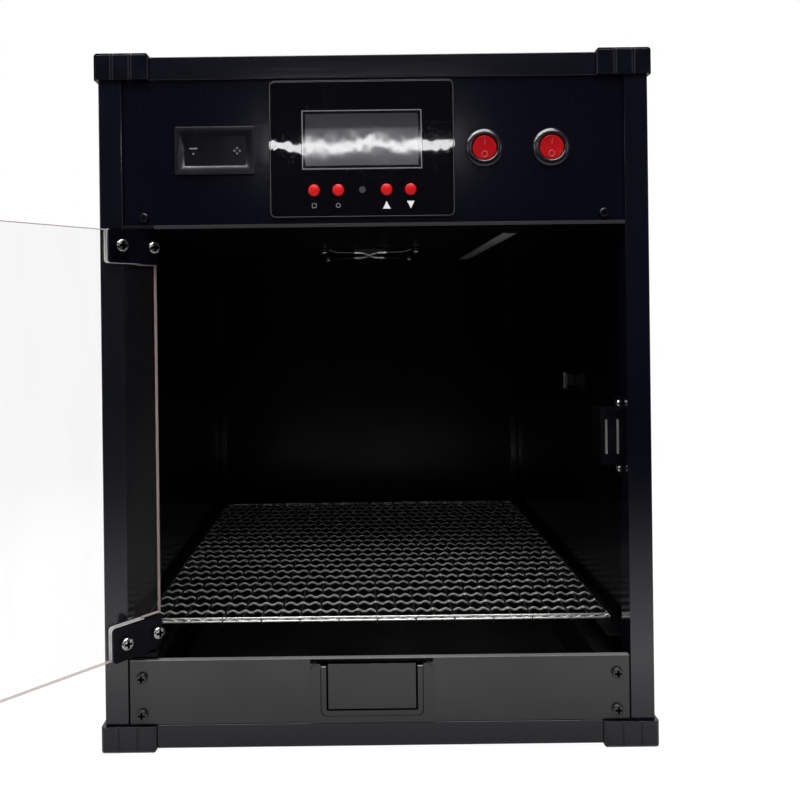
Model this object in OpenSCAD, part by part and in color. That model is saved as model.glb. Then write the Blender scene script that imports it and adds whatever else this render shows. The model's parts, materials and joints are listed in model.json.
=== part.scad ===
// Heated brooder cabinet: a square-tube frame with panelled walls, a wire floor over a drawer,
// a clear swinging door and a control fascia above the chamber.
// Millimetres. +Z is up and the front faces -Y. The origin is on the floor, under the cabinet's middle.

/* [Cabinet] */
// Width across the posts
cab_w = 330; // [310:1:380]
// Depth across the posts
cab_d = 345; // [335:1:400]
// Height over the corner blocks
cab_h = 420; // [416:1:460]
// Side of the square frame tube
tube = 14; // [13:0.5:16]
// Wall of the frame tube
tube_wall = 1.2; // [1:0.1:1.8]
// Thickness of the wall panels
panel_t = 3; // [2:0.5:4]
// Outer face of a panel behind the outer face of the tube
panel_inset = 4; // [3:0.5:5]
// Depth of the panel slots in the tubes
slot_depth = 4; // [3:0.5:5]
// Play of a panel in its slot
slot_play = 0.15; // [0.05:0.05:0.3]

/* [Corner blocks] */
// Length of a corner block along each rail
block_len = 33; // [28:1:40]
// Stand-out of a corner block from the tube faces
block_proud = 2.2; // [1.8:0.1:3]
// Chamfer on the outer edges of a corner block
block_chamfer = 1.6; // [0.6:0.1:1.8]
// Width of the grooves in a corner block
groove_w = 0.9; // [0.6:0.1:1.4]
// Depth of the grooves in a corner block
groove_depth = 0.6; // [0.3:0.1:1]
// Length of the plugs that enter the tubes
plug_len = 18; // [12:1:24]
// Play of a plug in its tube
plug_play = 0.2; // [0.1:0.05:0.3]

/* [Ceiling and fascia] */
// Height of the fascia, from the ceiling sheet to the top rail
fascia_h = 87.4; // [86:0.1:95]
// Thickness of the folded ceiling sheet
ceiling_t = 2.1; // [1.5:0.1:2.6]
// Height of the ceiling's upturned lips
lip_h = 8; // [7:0.5:9]
// Thickness of the ceiling's upturned lips
lip_t = 1.5; // [1:0.1:2]
// Thickness of the fascia
fascia_t = 3; // [2:0.5:4]
// Fascia face behind the front of the posts
fascia_recess = 1.5; // [1:0.1:2.5]
// Play of the sheets beside the posts and panels
sheet_play = 0.3; // [0.2:0.05:0.5]
// Fascia screws from the posts
fascia_screw_in = 12.6; // [8:0.1:16]
// Fascia screws above the ceiling sheet
fascia_screw_up = 4.8; // [4:0.1:5]
// Head diameter of the fascia screws
fascia_head_d = 5.5; // [4.5:0.1:6.5]

/* [Controller] */
// Middle of the controller from the cabinet's middle
control_x = -6.8; // [-10:0.1:-4]
// Instruments' middle above the fascia's middle
control_up = 0.9; // [0:0.1:1.5]
// Width of the controller plate
plate_w = 111.6; // [108:0.1:114]
// Height of the controller plate
plate_h = 82.5; // [80:0.1:84]
// Thickness of the controller plate
plate_t = 2; // [1.5:0.1:2.5]
// Corner radius of the controller plate
plate_r = 3.6; // [2:0.1:6]
// Width of the display
lcd_w = 72; // [66:0.1:76]
// Height of the display
lcd_h = 35.4; // [32:0.1:37]
// Display's middle above the controller's middle
lcd_up = 5.6; // [5:0.1:7]
// Width of the controller's case
case_w = 98; // [94:0.5:102]
// Height of the controller's case
case_h = 68; // [64:0.5:72]
// Depth of the controller's case
case_d = 28; // [22:0.5:34]
// Buttons below the controller's middle
button_row = 24.7; // [23:0.1:26]
// Distance between neighbouring places in the button row
button_pitch = 14.5; // [12:0.1:16]
// Diameter of a button
button_d = 7; // [6:0.1:8]
// Stand-out of a button from the plate
button_proud = 1.6; // [1.4:0.1:2.5]
// Travel of a button
button_travel = 1; // [0.5:0.1:1.2]
// Play round a button
button_play = 0.3; // [0.2:0.05:0.4]
// Length of a button inside the case
button_tail = 2; // [1:0.1:3]
// Diameter of the output lamp
lamp_d = 4; // [3:0.1:5]

/* [Thermometer] */
// Thermometer's middle from the cabinet's middle
meter_x = -95.1; // [-100:0.1:-93]
// Width of the thermometer's bezel
meter_w = 48; // [46:0.1:50]
// Height of the thermometer's bezel
meter_h = 28.6; // [27:0.1:30]
// Stand-out of the bezel from the fascia
meter_proud = 2; // [1.5:0.1:2.5]
// Rim of the bezel beyond its body
meter_rim = 1.2; // [0.8:0.1:1.6]
// Depth of the body behind the fascia face
meter_d = 14; // [10:0.5:18]
// Width of the thermometer's window
window_w = 36.7; // [34:0.1:39]
// Height of the thermometer's window
window_h = 17.5; // [16:0.1:20]
// Slope of the bezel round the window, as a width
window_slope = 3; // [1:0.1:3.5]
// Depth of the window behind the bezel's face
window_deep = 1.5; // [1:0.1:1.8]
// Thickness of the window
window_t = 1.2; // [1:0.1:1.5]

/* [Rocker switches] */
// Left switch from the cabinet's middle
switch_left_x = 66.9; // [64:0.1:70]
// Right switch from the cabinet's middle
switch_right_x = 107.3; // [104:0.1:112]
// Diameter of a switch's bezel
switch_bezel_d = 23; // [22:0.1:24]
// Stand-out of the bezel from the fascia
switch_proud = 2; // [1.5:0.1:2.5]
// Diameter of a switch's body
switch_body_d = 20; // [19.5:0.1:20.5]
// Depth of a switch's body behind the fascia face
switch_d = 16; // [13:0.5:20]
// Diameter of a rocker
rocker_d = 14.8; // [14:0.1:15.5]
// Play round a rocker
rocker_play = 0.3; // [0.2:0.05:0.4]
// Radius of a rocker's pivot pin
rocker_pin_r = 1; // [0.8:0.1:1.3]
// Running clearance of pins in their bores, on the radius
pin_play = 0.05; // [0.02:0.01:0.1]
// Tilt of a rocker that is off
rocker_tilt = 10; // [6:1:12]

/* [Door] */
// Opening angle at rest
door_open = 135; // [120:1:137]
// Thickness of the clear pane
pane_t = 3; // [2.5:0.1:4]
// Clearance of the open door's clamps from the post
post_clear = 0.6; // [0.4:0.1:1]
// Pane's hinge edge beyond the pivot
pane_past = 8.5; // [5:0.1:9]
// Gap between the closed door and the far post
door_gap = 1; // [0.6:0.1:2]
// Length of a hinge clamp
clamp_len = 33; // [30:0.5:40]
// Height of a hinge clamp
clamp_h = 20; // [16:0.5:26]
// Clamp's end beyond the pivot
clamp_past = 9.5; // [9:0.1:10]
// Thickness of a clamp plate
clamp_plate = 2; // [1.6:0.1:2.2]
// Thickness of the pads beside the pane
pad_t = 0.5; // [0.3:0.1:0.6]
// Clamp block's edge before the pivot
clamp_block = 2.5; // [2.3:0.1:4]
// Corner radius of a clamp
clamp_r = 2; // [1:0.1:3]
// Gap between a clamp and its bracket
clamp_gap = 0.8; // [0.4:0.1:1.2]
// Radius of a hinge pin
hinge_pin_r = 2; // [1.5:0.1:2.2]
// Outer clamp screw from the pivot
clamp_screw_far = 15.5; // [13:0.1:18]
// Clamp screw beyond the pivot
clamp_screw_past = 5; // [4.5:0.1:5.4]
// Lower hinge bracket above the drawer front
bracket_up = 2; // [1.5:0.1:3]
// Length of a hinge bracket from the post
bracket_len = 18; // [15:0.5:22]
// Depth of a hinge bracket
bracket_d = 14; // [13:0.5:16]
// Height of a bracket's tab on the post
tab_h = 12; // [10:0.5:16]
// Thickness of a bracket's tab
tab_t = 1.2; // [0.8:0.1:1.3]
// Knob from the door's free edge
knob_in = 24; // [20:1:40]
// Diameter of the knob
knob_d = 18; // [14:0.5:22]
// Stand-out of the knob
knob_len = 16; // [12:0.5:20]

/* [Magnetic catch] */
// Catch's middle below the door's middle
catch_down = 1.8; // [-20:0.1:20]
// Width of the catch from the post
catch_w = 14; // [12:0.5:16]
// Height of the catch's housing
catch_h = 34; // [30:0.5:40]
// Depth of the catch's housing
catch_d = 15; // [12:0.5:18]
// Height of the catch's base on the post
catch_base_h = 48; // [46:0.5:56]
// Thickness of the catch's base
catch_base_t = 1.5; // [1:0.1:2]
// Thickness of a steel pole plate
pole_t = 1.3; // [1.2:0.1:2]
// Height of a pole plate
pole_h = 21; // [18:0.5:28]
// Distance between the pole plates
pole_pitch = 7; // [6:0.5:8]
// Stand-out of the pole plates
pole_proud = 0.5; // [0.3:0.1:1]
// Gap between the poles and the closed door's strike
catch_gap = 0.5; // [0.3:0.1:1]
// Thickness of the strike plate
strike_t = 1; // [0.8:0.1:1.5]

/* [Drawer] */
// Height of the drawer front
drawer_front_h = 38.5; // [37:0.5:42]
// Thickness of the drawer front
drawer_front_t = 3; // [2.5:0.1:4]
// Gap under the drawer front
drawer_under = 0.5; // [0.3:0.1:1]
// Gap beside the drawer front
drawer_beside = 1; // [0.6:0.1:1.4]
// Gap between the tray and a runner
tray_beside = 2.8; // [1:0.1:5]
// Gap behind the tray
tray_behind = 17; // [10:1:40]
// Thickness of the tray's sheet
tray_t = 1.2; // [0.8:0.1:1.4]
// Tray's floor above the drawer front's lower edge
tray_up = 1.5; // [1:0.1:3]
// Runner's top above the drawer front's lower edge
runner_up = 29.3; // [28:0.1:31]
// Width of a runner
runner_w = 18; // [16:0.5:19]
// Height of a runner
runner_h = 15; // [10:0.5:20]
// Thickness of the runners and floor ledges
angle_t = 1.5; // [1:0.1:2]
// Clearance of the tray on its runners
runner_play = 0.3; // [0.2:0.05:0.5]
// Tray flange's edge from the post
flange_gap = 1.5; // [1:0.1:2]
// Drawer screws from the drawer front's end
drawer_screw_in = 7.3; // [6:0.1:8]
// Upper drawer screws below the drawer front's top edge
drawer_screw_down = 10.5; // [10:0.1:12]
// Lower drawer screws above the drawer front's lower edge
drawer_screw_up = 6.1; // [5:0.1:9]
// Head diameter of the drawer screws
drawer_head_d = 6.6; // [5.5:0.1:7]

/* [Drawer pull] */
// Middle of the pull from the cabinet's middle
pull_x = -4.6; // [-10:0.1:10]
// Width of the pull's plate
pull_w = 74; // [72:0.5:80]
// Notch above the pull's plate in the drawer front
pull_notch = 3.3; // [2.5:0.1:4]
// Strip of the drawer front that runs on above the notch
pull_strip = 0.7; // [0.6:0.1:1.2]
// Stand-out of the pull's plate
pull_proud = 0.8; // [0.4:0.1:1.2]
// Width of the folding bail
bail_w = 61; // [56:0.5:62]
// Width of the bail's bar
bail_bar = 3; // [2.5:0.1:3.5]
// Thickness of the bail's bar
bail_t = 2.4; // [2:0.1:2.6]
// Bail's lower edge above the plate's lower edge
bail_up = 4.2; // [3:0.1:6]
// Bail's pivot below the plate's upper edge
bail_pivot_down = 2.6; // [2:0.1:4]
// Gap inside the bail
bail_gap = 1.2; // [0.8:0.1:1.6]
// Gap outside and behind the bail
bail_play = 0.4; // [0.3:0.05:0.5]
// Corner radius of the bail
bail_r = 3.6; // [3:0.1:6]
// Radius of the bail's pivot pins
bail_pin_r = 0.8; // [0.6:0.1:1]
// Length of the bail's pivot pins in the plate
bail_pin_len = 1.5; // [1:0.1:1.8]
// Wall of the plate beside the bail
bail_wall = 2.1; // [1.9:0.1:3]

/* [Wire floor] */
// Floor ledge's top above the drawer front
ledge_up = 6.1; // [5:0.1:10]
// Width of a floor ledge
ledge_w = 16; // [14:0.5:20]
// Height of a floor ledge
ledge_h = 10; // [8:0.5:11]
// Gap between the wire floor and a side panel
floor_beside = 5; // [4:0.5:13]
// Wire floor behind the front of the posts
floor_behind = 37; // [30:0.5:45]
// Gap between the wire floor and the back panel
floor_from_back = 7; // [3:0.5:12]
// Thickness of the wire floor
floor_t = 3.2; // [2.4:0.1:4]
// Width of a floor wire
wire_w = 1.6; // [1.2:0.1:2.4]
// Width of the wire floor's rim
rim_w = 3.2; // [2:0.1:5]
// Meshes along each side of the wire floor
mesh_count = 17; // [10:1:17]

/* [Fan and heater] */
// Fan's middle behind the front of the posts
fan_behind = 165; // [120:1:190]
// Side of the fan
fan_w = 80; // [78:1:92]
// Height of the fan
fan_h = 25; // [20:1:32]
// Distance between the fan's screws
fan_screw_pitch = 71.5; // [71:0.1:72]
// Wall of the fan's ring
fan_ring = 2; // [1.5:0.1:3]
// Diameter of the fan's hub
hub_d = 30; // [26:0.5:36]
// Blades of the rotor
blade_count = 7; // [5:1:9]
// Pitch of a blade
blade_pitch = 40; // [30:1:50]
// Thickness of a blade
blade_t = 1.6; // [1.2:0.1:2]
// Gap between the rotor and its frame
rotor_gap = 0.8; // [0.5:0.1:1.2]
// Radius of the rotor's shaft
shaft_r = 1.5; // [1:0.1:2]
// Wire of the fan guard
guard_wire = 1.6; // [1.2:0.1:2]
// Rings of the fan guard
guard_rings = 4; // [3:1:5]
// Distance between the guard's rings
guard_pitch = 8; // [6:0.5:9]
// Radius of the fan screws
fan_screw_r = 2; // [1.8:0.05:2.1]
// Height of the heater block
heater_h = 20; // [14:1:26]
// Air slots in the heater block
heater_slots = 9; // [5:1:11]

/* [Lamp, probe and supply] */
// Light bar from the cabinet's middle
light_x = 87; // [60:1:120]
// Light bar behind the front of the posts
light_behind = 20; // [16:1:40]
// Length of the light bar
light_len = 200; // [180:1:270]
// Width of the light bar
light_w = 12; // [10:0.5:16]
// Height of the light bar
light_h = 2.5; // [2:0.5:10]
// Probe behind the front of the posts
probe_behind = 131; // [100:1:200]
// Probe's middle below the ceiling
probe_down = 104.5; // [60:0.1:140]
// Diameter of the probe
probe_d = 6; // [4:0.5:8]
// Length of the probe
probe_len = 14; // [12:1:30]
// Width of the power supply
supply_w = 98; // [80:1:100]
// Depth of the power supply
supply_d = 82; // [60:1:90]
// Height of the power supply
supply_h = 34; // [24:1:40]
// Power supply's end from the side panel
supply_in = 12; // [8:1:20]
// Power supply from the back panel
supply_from_back = 24; // [20:1:30]
// Cord gland from the cabinet's middle
gland_x = 100; // [60:1:130]
// Cord gland above the ceiling sheet
gland_up = 48; // [40:1:60]
// Bore of the cord gland
gland_bore_d = 6.5; // [5:0.1:8]
// Body diameter of the cord gland
gland_body_d = 15.8; // [14:0.1:18]
// Length of the cord gland outside the back panel
gland_out = 8; // [5:0.5:12]
// Ventilation slots in the back panel
vent_count = 9; // [5:1:12]
// Width of a ventilation slot
vent_w = 4; // [3:0.5:5]
// Height of a ventilation slot
vent_h = 36; // [20:1:44]

/* [Hidden] */
$fn = 48;
// Overshoot of a cut past the face it opens
cut = 1;
// Thickness of a hull's flat end
skin = 0.01;

// Frame
frame_x = cab_w / 2;
frame_y = cab_d / 2;
base_z = block_proud;
crown_z = cab_h - block_proud;
rail_low_z = base_z + tube;
rail_high_z = crown_z - tube;
inner_x = frame_x - tube;
inner_y = frame_y - tube;
block_reach = block_len - block_proud;
rail_half_x = frame_x - block_reach;
rail_half_y = frame_y - block_reach;

// Panels: each is a pair of corners
seat = slot_depth - slot_play;
slot_wall = slot_depth + tube_wall;
wall_x = frame_x - panel_inset - panel_t;
wall_y = frame_y - panel_inset - panel_t;
panel_low = rail_low_z - seat;
panel_high = rail_high_z + seat;
flat_corner = [inner_x + seat, inner_y + seat, 0];
right_box = [[wall_x, -inner_y - seat, panel_low], [wall_x + panel_t, inner_y + seat, panel_high]];
left_box = [[-wall_x - panel_t, -inner_y - seat, panel_low], [-wall_x, inner_y + seat, panel_high]];
back_box = [[-inner_x - seat, wall_y, panel_low], [inner_x + seat, wall_y + panel_t, panel_high]];
top_low = [0, 0, crown_z - panel_inset - panel_t];
base_low = [0, 0, base_z + panel_inset];
top_box = [top_low - flat_corner, top_low + flat_corner + [0, 0, panel_t]];
base_box = [base_low - flat_corner, base_low + flat_corner + [0, 0, panel_t]];
panel_boxes = [right_box, left_box, back_box, top_box, base_box];

// Ceiling and fascia
ceiling_top = rail_high_z - fascia_h;
ceiling_z = ceiling_top - ceiling_t;
fascia_face = fascia_recess;
fascia_back = fascia_recess + fascia_t;
fascia_half = inner_x - sheet_play;
fascia_screw_x = inner_x - fascia_screw_in;
control_z = ceiling_top + fascia_h / 2 + control_up;
fascia_screw_z = ceiling_top + fascia_screw_up;
screw_r = 1.5;
screw_hole_r = 1.65;
screw_past = 1.5;
head_share = 0.36;

// Controller
case_play = 0.3;
lcd_play = 0.15;
lcd_z = control_z + lcd_up;
button_z = control_z - button_row;
button_well = button_tail + button_travel + button_play;
button_x = [for (place = [-2, -1, 1, 2]) control_x + place * button_pitch];
lamp_proud = 0.6;

// Thermometer
meter_r = 1;

// Rocker switches
rocker_r = rocker_d / 2;
rocker_set = 2.2;
rocker_ridge = 2;
rocker_ends = 3.2;
rocker_back = 1.8;
rocker_well = rocker_set + rocker_r + rocker_play;
terminal = [6, 8, 1];
terminal_pitch = 8;

// Drawer
drawer_low = rail_low_z + drawer_under;
drawer_top = drawer_low + drawer_front_h;
drawer_half = inner_x - drawer_beside;
tray_floor = drawer_low + tray_up;
runner_top = drawer_low + runner_up;
tray_top = runner_top + runner_play + tray_t;
tray_outer = wall_x - runner_w - tray_beside;
tray_half = tray_outer - tray_t;
tray_d = frame_y + wall_y - drawer_front_t - tray_behind;
flange_half = inner_x - flange_gap;
runner_end = inner_y - sheet_play;
drawer_screw_x = drawer_half - drawer_screw_in;
drawer_screw_z = [drawer_top - drawer_screw_down, drawer_low + drawer_screw_up];

// Drawer pull
pull_top = drawer_top - pull_notch;
pull_chamfer = 3;
pull_play = 0.2;
pull_rim = 2.6;
bail_pivot_z = pull_top - bail_pivot_down;
bail_front = -pull_proud;
bail_in_least = 0.5;
bail_in_r = max(bail_r - bail_bar, bail_in_least);
bail_pivot_deep = bail_front + bail_t / 2;
groove_half = bail_w / 2 + bail_play;
pull_body_half = groove_half + bail_wall;

// Door, measured from its pivot with the closed pane along +X
clamp_t = pane_t + 2 * pad_t + 2 * clamp_plate;
pivot_deep = clamp_t / 2;
pivot_for_side = (clamp_t / 2 + post_clear - pivot_deep * cos(door_open)) / sin(door_open);
pivot_in = max(pivot_for_side, clamp_past + post_clear);
pivot_x = -inner_x + pivot_in;
bracket_low_z = drawer_top + bracket_up;
clamp_low_z = bracket_low_z + ceiling_t + clamp_gap;
clamp_high_z = ceiling_z - clamp_gap - clamp_h;
pane_edge = 0.6;
pane_low = clamp_low_z + pane_edge;
pane_high = clamp_high_z + clamp_h - pane_edge;
pane_far = 2 * inner_x - pivot_in - door_gap;
block_play = 0.3;
clamp_chamfer = 1.8;
clamp_head_d = 7.8;
pin_short = 0.3;
tab_w = 4;
knob_at = pane_far - knob_in;
knob_screw_r = 1.5;

// Magnetic catch
catch_z = (pane_low + pane_high) / 2 - catch_down;
pole_deep = pivot_deep + pane_t / 2 + strike_t + catch_gap;
catch_deep = pole_deep + pole_proud;
pole_play = 0.1;
pole_len = 11;
pole_mid = inner_x - catch_w / 2;
catch_screw_in = 4;
catch_screw_up = catch_base_h / 2 - catch_screw_in;
catch_base_in = 0.4;
catch_screw_behind = 3;
catch_screw_deep = catch_deep + catch_screw_behind;
steel_head_d = 5;

// Wire floor
ledge_top = drawer_top + ledge_up;
floor_half = wall_x - floor_beside;
floor_d = frame_y + wall_y - floor_behind - floor_from_back;
mesh_x = (2 * floor_half - 2 * rim_w + wire_w) / mesh_count;
mesh_y = (floor_d - 2 * rim_w + wire_w) / mesh_count;

// Fan and heater
fan_at = [0, -frame_y + fan_behind, ceiling_top];
ring_r = fan_w / 2 - fan_ring;
rotor_r = ring_r - rotor_gap;
hub_plate = 3;
strut_w = 4;
hub_below = 3;
hub_top = fan_h - hub_below;
blade_h = 18;
blade_root = 2;
fan_corners = [for (x = [-1, 1], y = [-1, 1]) [x, y] * fan_screw_pitch / 2];
fan_hole_r = fan_screw_r + screw_hole_r - screw_r;
eyelet_w = 2.4;
eyelet_r = fan_hole_r + eyelet_w;
fan_head_in = 0.75;
guard_inner = 12;
heater_rim = 7;
heater_gap = 3;

// Power supply and probe
supply_slots = 7;
supply_slot_w = 4;
supply_rim = 12;
supply_groove = 1.2;
probe_z = ceiling_z - probe_down;
probe_clip = [4, 9, 8];
probe_sunk = 1;

// Cord gland and vents
gland_at = [gland_x, wall_y, ceiling_top + gland_up];
gland_play = 0.15;
gland_nut_t = 5;
gland_nut_grip = 3.5;
gland_nut_d = gland_body_d + 2 * gland_nut_grip;
gland_dome = [3, -2];
vent_pitch = 12;
vent_x = -60;

// Depth behind the front of the posts, as a Y value
function front_y(deep) = -frame_y + deep;

// Points of a round corner about a centre
function corner_arc(centre, r, from, steps = 6) =
    [for (i = [0:steps]) centre + r * [cos(from + 90 * i / steps), sin(from + 90 * i / steps)]];

// Outline of a rectangle about the origin with round corners
function round_rect(w, h, r) = concat(
    corner_arc([w / 2 - r, h / 2 - r], r, 0),
    corner_arc([r - w / 2, h / 2 - r], r, 90),
    corner_arc([r - w / 2, r - h / 2], r, 180),
    corner_arc([w / 2 - r, r - h / 2], r, 270)
);

// Block between two corners
module span(low, high) {
    translate(low) cube(high - low);
}

// Plate that stands across Y, with its outline in X and Z, from one depth to another
module upright(from_y, to_y) {
    translate([0, to_y, 0]) rotate([90, 0, 0]) linear_extrude(to_y - from_y) children();
}

// Cylinder along Y from a point, towards the back
module bore_y(at, r, len) {
    translate(at) rotate([-90, 0, 0]) cylinder(r = r, h = len);
}

// Cylinder along X from a point, towards the right
module bore_x(at, r, len) {
    translate(at) rotate([0, 90, 0]) cylinder(r = r, h = len);
}

// The same shape on the right and on the left
module on_both_sides() {
    children();
    mirror([1, 0, 0]) children();
}

// Room for the panels in the frame
module panel_slots() {
    play = slot_play * [1, 1, 1];
    for (b = panel_boxes) {
        span(b[0] - play, b[1] + play);
    }
}

// Square tube between two corners, hollow along one axis: thick where it faces the cabinet's middle
module square_tube(low, high, along) {
    off_middle = (low + high) / 2 - [0, 0, cab_h / 2];
    wall = [for (axis = [0:2]) axis == along ? -cut : off_middle[axis] > 0 ? slot_wall : tube_wall];
    far_wall = [for (axis = [0:2]) axis == along ? -cut : off_middle[axis] > 0 ? tube_wall : slot_wall];
    difference() {
        span(low, high);
        span(low + wall, high - far_wall);
        panel_slots();
    }
}

// Pan-head screw with a cross recess: the head's seat is at the origin, and the head points along +Z
module pan_screw(head_d, r, len) {
    head_h = head_share * head_d;
    recess = [0.62 * head_d, 0.14 * head_d, head_h];
    difference() {
        union() {
            rotate_extrude() polygon([
                [0, 0], [head_d / 2, 0], [head_d / 2, 0.5 * head_h], [0.46 * head_d, 0.8 * head_h],
                [0.38 * head_d, 0.96 * head_h], [0, head_h]
            ]);
            translate([0, 0, -len]) cylinder(r = r, h = len);
        }
        for (turn = [0, 90]) {
            rotate(turn) translate([0, 0, head_h]) cube(recess, center = true);
        }
    }
}

// Frame post: side -1 is left, end -1 is front
module post(side, end) {
    middle = [side * (frame_x - tube / 2), end * (frame_y - tube / 2), 0];
    half = [tube / 2, tube / 2, 0];
    color("dimgray") square_tube(
        middle - half + [0, 0, rail_low_z],
        middle + half + [0, 0, rail_high_z],
        2
    );
}

module post_front_left() {
    post(-1, -1);
}

module post_front_right() {
    difference() {
        post(1, -1);
        for (up = [-1, 1]) {
            bore_x(catch_screw_at(up) - [cut, 0, 0], screw_hole_r, slot_wall + cut);
        }
    }
}

module post_rear_left() {
    post(-1, 1);
}

module post_rear_right() {
    post(1, 1);
}

// The four rails of one level, from their lower face
module rails(low_z) {
    half = tube / 2;
    color("dimgray") for (end = [-1, 1]) {
        y = end * (frame_y - half);
        square_tube([-rail_half_x, y - half, low_z], [rail_half_x, y + half, low_z + tube], 0);
        x = end * (frame_x - half);
        square_tube([x - half, -rail_half_y, low_z], [x + half, rail_half_y, low_z + tube], 1);
    }
}

module rails_top() {
    rails(rail_high_z);
}

module rails_bottom() {
    rails(base_z);
}

// Cutter for a chamfer along an edge: about a point, turned so that its length lies on the edge
module chamfer_edge(at, turn) {
    side = block_chamfer * sqrt(2);
    translate(at) rotate(turn) rotate([0, 0, 45]) cube([side, side, 4 * block_len], center = true);
}

// Corner block, from the frame's outer corner: X, Y and Z point along the two rails and the post
module corner_block() {
    out = -block_proud;
    plug_in = tube_wall + plug_play;
    plug_to = tube - slot_wall - plug_play;
    along_z = [0, 0, 0];
    along_x = [0, 90, 0];
    along_y = [90, 0, 0];
    difference() {
        union() {
            span([out, out, out], [block_reach, tube, tube]);
            span([out, out, out], [tube, block_reach, tube]);
            span([plug_in, plug_in, tube - cut], [plug_to, plug_to, tube + plug_len]);
            span([block_reach - cut, plug_in, plug_in], [block_reach + plug_len, plug_to, plug_to]);
            span([plug_in, block_reach - cut, plug_in], [plug_to, block_reach + plug_len, plug_to]);
        }
        chamfer_edge([out, out, 0], along_z);
        chamfer_edge([block_reach, out, 0], along_z);
        chamfer_edge([out, block_reach, 0], along_z);
        chamfer_edge([0, out, out], along_x);
        chamfer_edge([0, block_reach, out], along_x);
        chamfer_edge([out, 0, out], along_y);
        chamfer_edge([block_reach, 0, out], along_y);
        for (third = [1, 2]) {
            at = out + third * block_len / 3;
            deep = out + groove_depth;
            span([at - groove_w / 2, out - cut, out - cut], [at + groove_w / 2, deep, tube + cut]);
            span([out - cut, at - groove_w / 2, out - cut], [deep, at + groove_w / 2, tube + cut]);
        }
    }
}

// The four corner blocks of one level: -1 is the bottom
module corner_blocks(level) {
    color("#2b2b2e") for (side = [-1, 1], end = [-1, 1]) {
        difference() {
            translate([side * frame_x, end * frame_y, level < 0 ? base_z : crown_z])
                mirror([side > 0 ? 1 : 0, 0, 0])
                    mirror([0, end > 0 ? 1 : 0, 0])
                        mirror([0, 0, level > 0 ? 1 : 0])
                            corner_block();
            panel_slots();
        }
    }
}

module corner_blocks_top() {
    corner_blocks(1);
}

module corner_blocks_bottom() {
    corner_blocks(-1);
}

module side_panel_left() {
    color("#1c1c1f") span(left_box[0], left_box[1]);
}

module side_panel_right() {
    color("#1c1c1f") span(right_box[0], right_box[1]);
}

module back_panel() {
    vent_low = ceiling_top + gland_up - vent_h / 2;
    color("#1c1c1f") difference() {
        span(back_box[0], back_box[1]);
        bore_y(gland_at - [0, cut, 0], gland_body_d / 2 + gland_play, panel_t + 2 * cut);
        for (i = [0:vent_count - 1]) {
            x = vent_x + (i - (vent_count - 1) / 2) * vent_pitch;
            span(
                [x - vent_w / 2, wall_y - cut, vent_low],
                [x + vent_w / 2, wall_y + panel_t + cut, vent_low + vent_h]
            );
        }
    }
}

module top_panel() {
    color("#1c1c1f") span(top_box[0], top_box[1]);
}

module base_panel() {
    color("#1c1c1f") span(base_box[0], base_box[1]);
}

module fascia_panel() {
    front = front_y(fascia_face);
    back = front_y(fascia_back);
    case_half = [case_w / 2 + case_play, 0, case_h / 2 + case_play];
    meter_half = [meter_w / 2 - meter_rim + case_play, 0, meter_h / 2 - meter_rim + case_play];
    color("#111114") difference() {
        span([-fascia_half, front, ceiling_top], [fascia_half, back, rail_high_z]);
        span([control_x, front - cut, control_z] - case_half, [control_x, back + cut, control_z] + case_half);
        span([meter_x, front - cut, control_z] - meter_half, [meter_x, back + cut, control_z] + meter_half);
        for (x = [switch_left_x, switch_right_x]) {
            bore_y([x, front - cut, control_z], switch_body_d / 2 + case_play, fascia_t + 2 * cut);
        }
        for (x = [-fascia_screw_x, fascia_screw_x]) {
            bore_y([x, front - cut, fascia_screw_z], screw_hole_r, fascia_t + 2 * cut);
        }
    }
}

// Folded sheet over the chamber: front lip behind the fascia, side lips on the side panels
module ceiling_panel() {
    half = wall_x;
    front = front_y(0);
    lip_y = front_y(fascia_back);
    post_y = inner_y - sheet_play;
    post_x = inner_x - sheet_play;
    lip_top = ceiling_top + lip_h;
    lip_end = post_x - tab_t - sheet_play;
    color("#26262a") difference() {
        union() {
            span([-half, front, ceiling_z], [half, wall_y, ceiling_top]);
            span([-lip_end, lip_y, ceiling_z], [lip_end, lip_y + lip_t, lip_top]);
            on_both_sides() span([half - lip_t, -post_y, ceiling_z], [half, post_y, lip_top]);
        }
        on_both_sides() for (end = [-1, 1]) {
            near = end < 0 ? front - cut : post_y;
            far = near + tube + sheet_play + cut;
            span([post_x, near, ceiling_z - cut], [half + cut, far, lip_top + cut]);
        }
        span(
            [-inner_x - cut, front - cut, ceiling_z - cut],
            [-inner_x + bracket_len + sheet_play, front_y(bracket_d + sheet_play), ceiling_top]
        );
        translate(fan_at - [0, 0, ceiling_t + cut]) {
            cylinder(r = ring_r, h = ceiling_t + 2 * cut);
            for (c = fan_corners) {
                translate(c) cylinder(r = fan_hole_r, h = ceiling_t + 2 * cut);
            }
        }
        for (x = [-fascia_screw_x, fascia_screw_x]) {
            bore_y([x, lip_y - cut, fascia_screw_z], screw_hole_r, lip_t + 2 * cut);
        }
    }
}

module fascia_screws() {
    len = fascia_t + lip_t + screw_past;
    color("#3a3a3e") for (x = [-fascia_screw_x, fascia_screw_x]) {
        translate([x, front_y(fascia_face), fascia_screw_z])
            rotate([90, 0, 0]) pan_screw(fascia_head_d, screw_r, len);
    }
}

module controller_plate() {
    back = front_y(fascia_face);
    front = back - plate_t;
    lcd_half = [lcd_w / 2 + lcd_play, 0, lcd_h / 2 + lcd_play];
    color("#0c0c0e") difference() {
        upright(front, back)
            translate([control_x, control_z]) polygon(round_rect(plate_w, plate_h, plate_r));
        span([control_x, front - cut, lcd_z] - lcd_half, [control_x, back + cut, lcd_z] + lcd_half);
        for (x = button_x) {
            bore_y([x, front - cut, button_z], button_d / 2 + button_play, plate_t + 2 * cut);
        }
        bore_y([control_x, front - cut, button_z], lamp_d / 2 + lcd_play, plate_t + 2 * cut);
    }
}

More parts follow.
